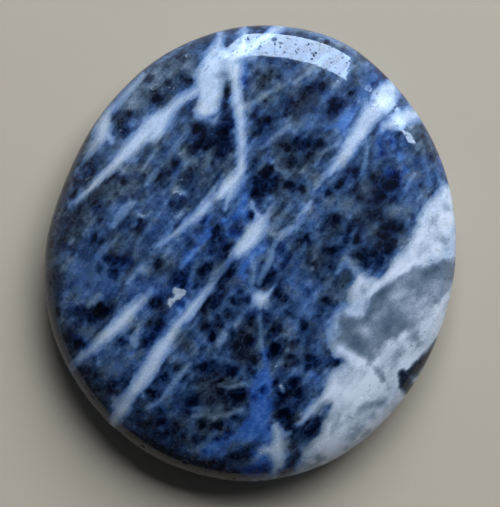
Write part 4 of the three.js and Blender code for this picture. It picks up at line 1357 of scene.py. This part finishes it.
    def relief(self, pits, worn):
        """The normal of the polish: a slight peel, with shallow hollows and the pits in the worn band."""
        height = self.times(self.noise(self.place, 0.9), PEEL_HEIGHT)
        hollows = self.times(self.noise(self.place, 0.55, detail=1.0), worn)
        height = self.math("MULTIPLY_ADD", hollows, HOLLOW_HEIGHT, height)
        height = self.math("MULTIPLY_ADD", pits, PIT_HEIGHT, height)
        return self.node("ShaderNodeBump", {"Strength": 1.0, "Distance": 1.0, "Height": height}).outputs[0]

    def roughness(self, pits):
        """A hand polish, duller on the calcite and in the pits."""
        rough = self.math("ADD", self.swung(self.medium, 0.04, 0.08), self.times(pits, 0.9))
        return self.math("MULTIPLY_ADD", self.mask["white"], 0.1, rough)


def stone_material(settings):
    """Sodalite: slate and royal-blue rock in dark grains, with calcite veins, under a hand polish."""
    material = bpy.data.materials.new("Polished Sodalite")
    material.use_nodes = True
    material.node_tree.nodes.clear()
    nodes = StoneNodes(material.node_tree, settings.grain_angle)
    worn = nodes.worn()
    pits = nodes.pits(worn)
    surface = nodes.node(
        "ShaderNodeBsdfPrincipled",
        {
            "Base Color": nodes.colour(),
            "Roughness": nodes.roughness(pits),
            "IOR": SODALITE_IOR,
            "Normal": nodes.relief(pits, worn),
        },
    )
    nodes.node("ShaderNodeOutputMaterial", {"Surface": surface.outputs[0]})
    return material


# Stage.

WINDOW_DISTANCE = 0.7
WINDOW_COLOUR = (0.53, 0.68, 0.9)
# Each pane's bearing clockwise from Y, its elevation, its width and height in metres, and how far it leans.
WINDOW_PANES = {
    "Window": (math.radians(10.4), math.radians(24), 0.54, 0.56, math.radians(-7)),
    "Side Window": (math.radians(49.2), math.radians(26), 0.042, 0.36, math.radians(-4)),
    "Middle Side Window": (math.radians(54.6), math.radians(30), 0.025, 0.22, 0.0),
    "Low Side Window": (math.radians(58.7), math.radians(31), 0.042, 0.14, math.radians(-12)),
}
KEY_BEARING, KEY_ELEVATION, KEY_WIDTH = math.radians(24), math.radians(43), 0.6
ROOM_COLOUR = (0.85, 0.92, 1.0)
# How the room's light changes with height and from the near side to the far one: where each change
# starts and ends, and the levels there.
ROOM_BY_HEIGHT, ROOM_BY_DEPTH = (0.1, 0.95, 0.75, 0.12), (-0.5, 0.4, 0.3, 1.0)
FLOOR_HALF_WIDTH, FLOOR_ROUGHNESS = 0.6, 0.85
# The card over the crown: its half-widths as shares of the stone's, its lower and upper edge, the
# number of its faces, and how bright it is.
CARD_REACH, CARD_BOTTOM, CARD_TOP, CARD_FACES, CARD_GLOW = 0.85, 9.9 * MM, 45 * MM, 48, 0.12
SENSOR_WIDTH = 36


def matt_material(name, colour):
    """A material without any gloss. Returns it with the inputs of its surface."""
    material = bpy.data.materials.new(name)
    material.use_nodes = True
    surface = material.node_tree.nodes["Principled BSDF"].inputs
    surface["Base Color"].default_value = (*colour, 1.0)
    surface["Specular IOR Level"].default_value = 0.0
    return material, surface


def mesh_object(name, corners, faces, material):
    mesh = bpy.data.meshes.new(name)
    mesh.from_pydata(corners, [], faces)
    mesh.materials.append(material)
    made = bpy.data.objects.new(name, mesh)
    bpy.context.scene.collection.objects.link(made)
    return made


def pale_floor(colour):
    material, surface = matt_material("Pale Floor", colour)
    surface["Roughness"].default_value = FLOOR_ROUGHNESS
    half = FLOOR_HALF_WIDTH
    corners = [(-half, -half, 0), (half, -half, 0), (half, half, 0), (-half, half, 0)]
    floor = mesh_object("floor", corners, [(0, 1, 2, 3)], material)


def shading_card():
    """A dim card, seen only in the polish, that keeps the windows off the flat crown in low views."""
    material, surface = matt_material("Dim Card", (0.0, 0.0, 0.0))
    surface["Emission Color"].default_value = (*ROOM_COLOUR, 1.0)
    surface["Emission Strength"].default_value = CARD_GLOW
    half_x, half_y = (CARD_REACH * half for half in CAD_BOX[1][:2])
    corners = []
    for step in range(CARD_FACES + 1):
        angle = math.pi * step / CARD_FACES
        x, y = half_x * math.cos(angle), half_y * math.sin(angle)
        corners += [(x, y, CARD_BOTTOM), (x, y, CARD_TOP)]
    faces = [(i, i + 1, i + 3, i + 2) for i in range(0, 2 * CARD_FACES, 2)]
    card = mesh_object("shading_card", corners, faces, material)
    card.visible_camera = False
    card.visible_diffuse = False
    card.visible_shadow = False


def aim(placed_object, target):
    placed_object.rotation_euler = (target - placed_object.location).to_track_quat("-Z", "Y").to_euler()


def area_light(name, bearing, elevation, width, height, target):
    """A rectangular light, out of the camera's sight, that faces the target."""
    light = bpy.data.lights.new(name, "AREA")
    light.shape = "RECTANGLE"
    light.size = width
    light.size_y = height
    pane = bpy.data.objects.new(name, light)
    towards = Vector((math.sin(bearing), math.cos(bearing), math.tan(elevation))).normalized()
    pane.location = target + towards * WINDOW_DISTANCE
    aim(pane, target)
    pane.visible_camera = False
    bpy.context.scene.collection.objects.link(pane)
    return pane


def light_stone(window_power, key_power):
    """The window's panes, which show in the polish alone, and the soft light that falls on the stone."""
    centre = Vector((0, 0, GIRDLE_LEVEL))
    for name, (bearing, elevation, width, height, lean) in WINDOW_PANES.items():
        pane = area_light(name, bearing, elevation, width, height, centre)
        pane.data.energy = window_power * width * height
        pane.data.color = WINDOW_COLOUR
        pane.rotation_euler.rotate_axis("Z", lean)
        pane.visible_diffuse = False
    key = area_light("Key", KEY_BEARING, KEY_ELEVATION, KEY_WIDTH, KEY_WIDTH, centre)
    key.data.energy = key_power
    key.visible_glossy = False


def dim_room(strength):
    """The light from all round, dimmer from overhead and from the lower edge of the view."""
    world = bpy.data.worlds.new("Room")
    world.use_nodes = True
    room = NodeTree(world.node_tree)
    direction = room.node("ShaderNodeTexCoord").outputs["Generated"]
    towards = room.node("ShaderNodeSeparateXYZ", {0: direction}).outputs
    level = room.times(room.remap(towards["Z"], *ROOM_BY_HEIGHT), room.remap(towards["Y"], *ROOM_BY_DEPTH))
    background = world.node_tree.nodes["Background"]
    background.inputs["Color"].default_value = (*ROOM_COLOUR, 1.0)
    room.feed(background.inputs["Strength"], room.times(level, strength))
    return world


def overhead_camera(height, view_height):
    """A camera that looks straight down and sees so much of Y at the level of the girdle."""
    data = bpy.data.cameras.new("Camera")
    data.sensor_width = SENSOR_WIDTH
    data.sensor_fit = "VERTICAL"
    data.sensor_height = SENSOR_WIDTH
    data.lens = SENSOR_WIDTH * (height - GIRDLE_LEVEL) / view_height
    data.clip_start = 0.01
    camera = bpy.data.objects.new("Camera", data)
    camera.location = (0, 0, height)
    bpy.context.scene.collection.objects.link(camera)
    return camera


class STAGE_OT_build(bpy.types.Operator):
    """Make the floor, the window light and the camera over the stone"""

    bl_idname = "palm_stone.stage"
    bl_label = "Stage"

    def execute(self, context):
        scene = context.scene
        settings = scene.palm_stage
        pale_floor(settings.floor_colour)
        shading_card()
        light_stone(settings.window_power, settings.key_power)
        scene.world = dim_room(settings.room_strength)
        scene.camera = overhead_camera(settings.camera_height, settings.view_height)
        scene.view_settings.view_transform = "Standard"
        return {"FINISHED"}


class STONE_OT_build(bpy.types.Operator):
    """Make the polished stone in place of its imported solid"""

    bl_idname = "palm_stone.stone"
    bl_label = "Stone"

    def execute(self, context):
        settings = context.scene.palm_stone
        markings = context.scene.palm_markings
        sizes = shown(settings)
        values = {size.name: getattr(settings, size.identifier) for size in sizes}
        values["Finish"] = stone_material(markings)
        mesh = grown_mesh("stone_blank", merged_solid(STONE_NODE), pebble_tree(sizes), values)
        mark(mesh, markings)
        stone = bpy.data.objects.new("palm_stone", mesh)
        context.scene.collection.objects.link(stone)
        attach(stone, STONE_BODY)
        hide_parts(STONE_NODE)
        return {"FINISHED"}


class VIEW3D_PT_palm_stone(bpy.types.Panel):
    """Lists the steps that make the palm stone"""

    bl_label = "Palm Stone"
    bl_space_type = "VIEW_3D"
    bl_region_type = "UI"
    bl_category = "Palm Stone"

    def draw(self, context):
        for settings, operator in (
            (context.scene.palm_stone, STONE_OT_build),
            (context.scene.palm_markings, None),
            (context.scene.palm_stage, STAGE_OT_build),
        ):
            column = self.layout.column()
            for item in shown(settings):
                column.prop(settings, item.identifier)
            if operator:
                column.operator(operator.bl_idname)


CLASSES = (
    StoneSettings, MarkingSettings, StageSettings, STONE_OT_build, STAGE_OT_build, VIEW3D_PT_palm_stone
)


def register():
    for cls in CLASSES:
        bpy.utils.register_class(cls)
    bpy.types.Scene.palm_stone = PointerProperty(type=StoneSettings)
    bpy.types.Scene.palm_markings = PointerProperty(type=MarkingSettings)
    bpy.types.Scene.palm_stage = PointerProperty(type=StageSettings)


def unregister():
    del bpy.types.Scene.palm_stage
    del bpy.types.Scene.palm_markings
    del bpy.types.Scene.palm_stone
    for cls in reversed(CLASSES):
        bpy.utils.unregister_class(cls)


def main():
    register()
    bpy.ops.palm_stone.stage()
    bpy.ops.palm_stone.stone()


if __name__ == "__main__":
    main()
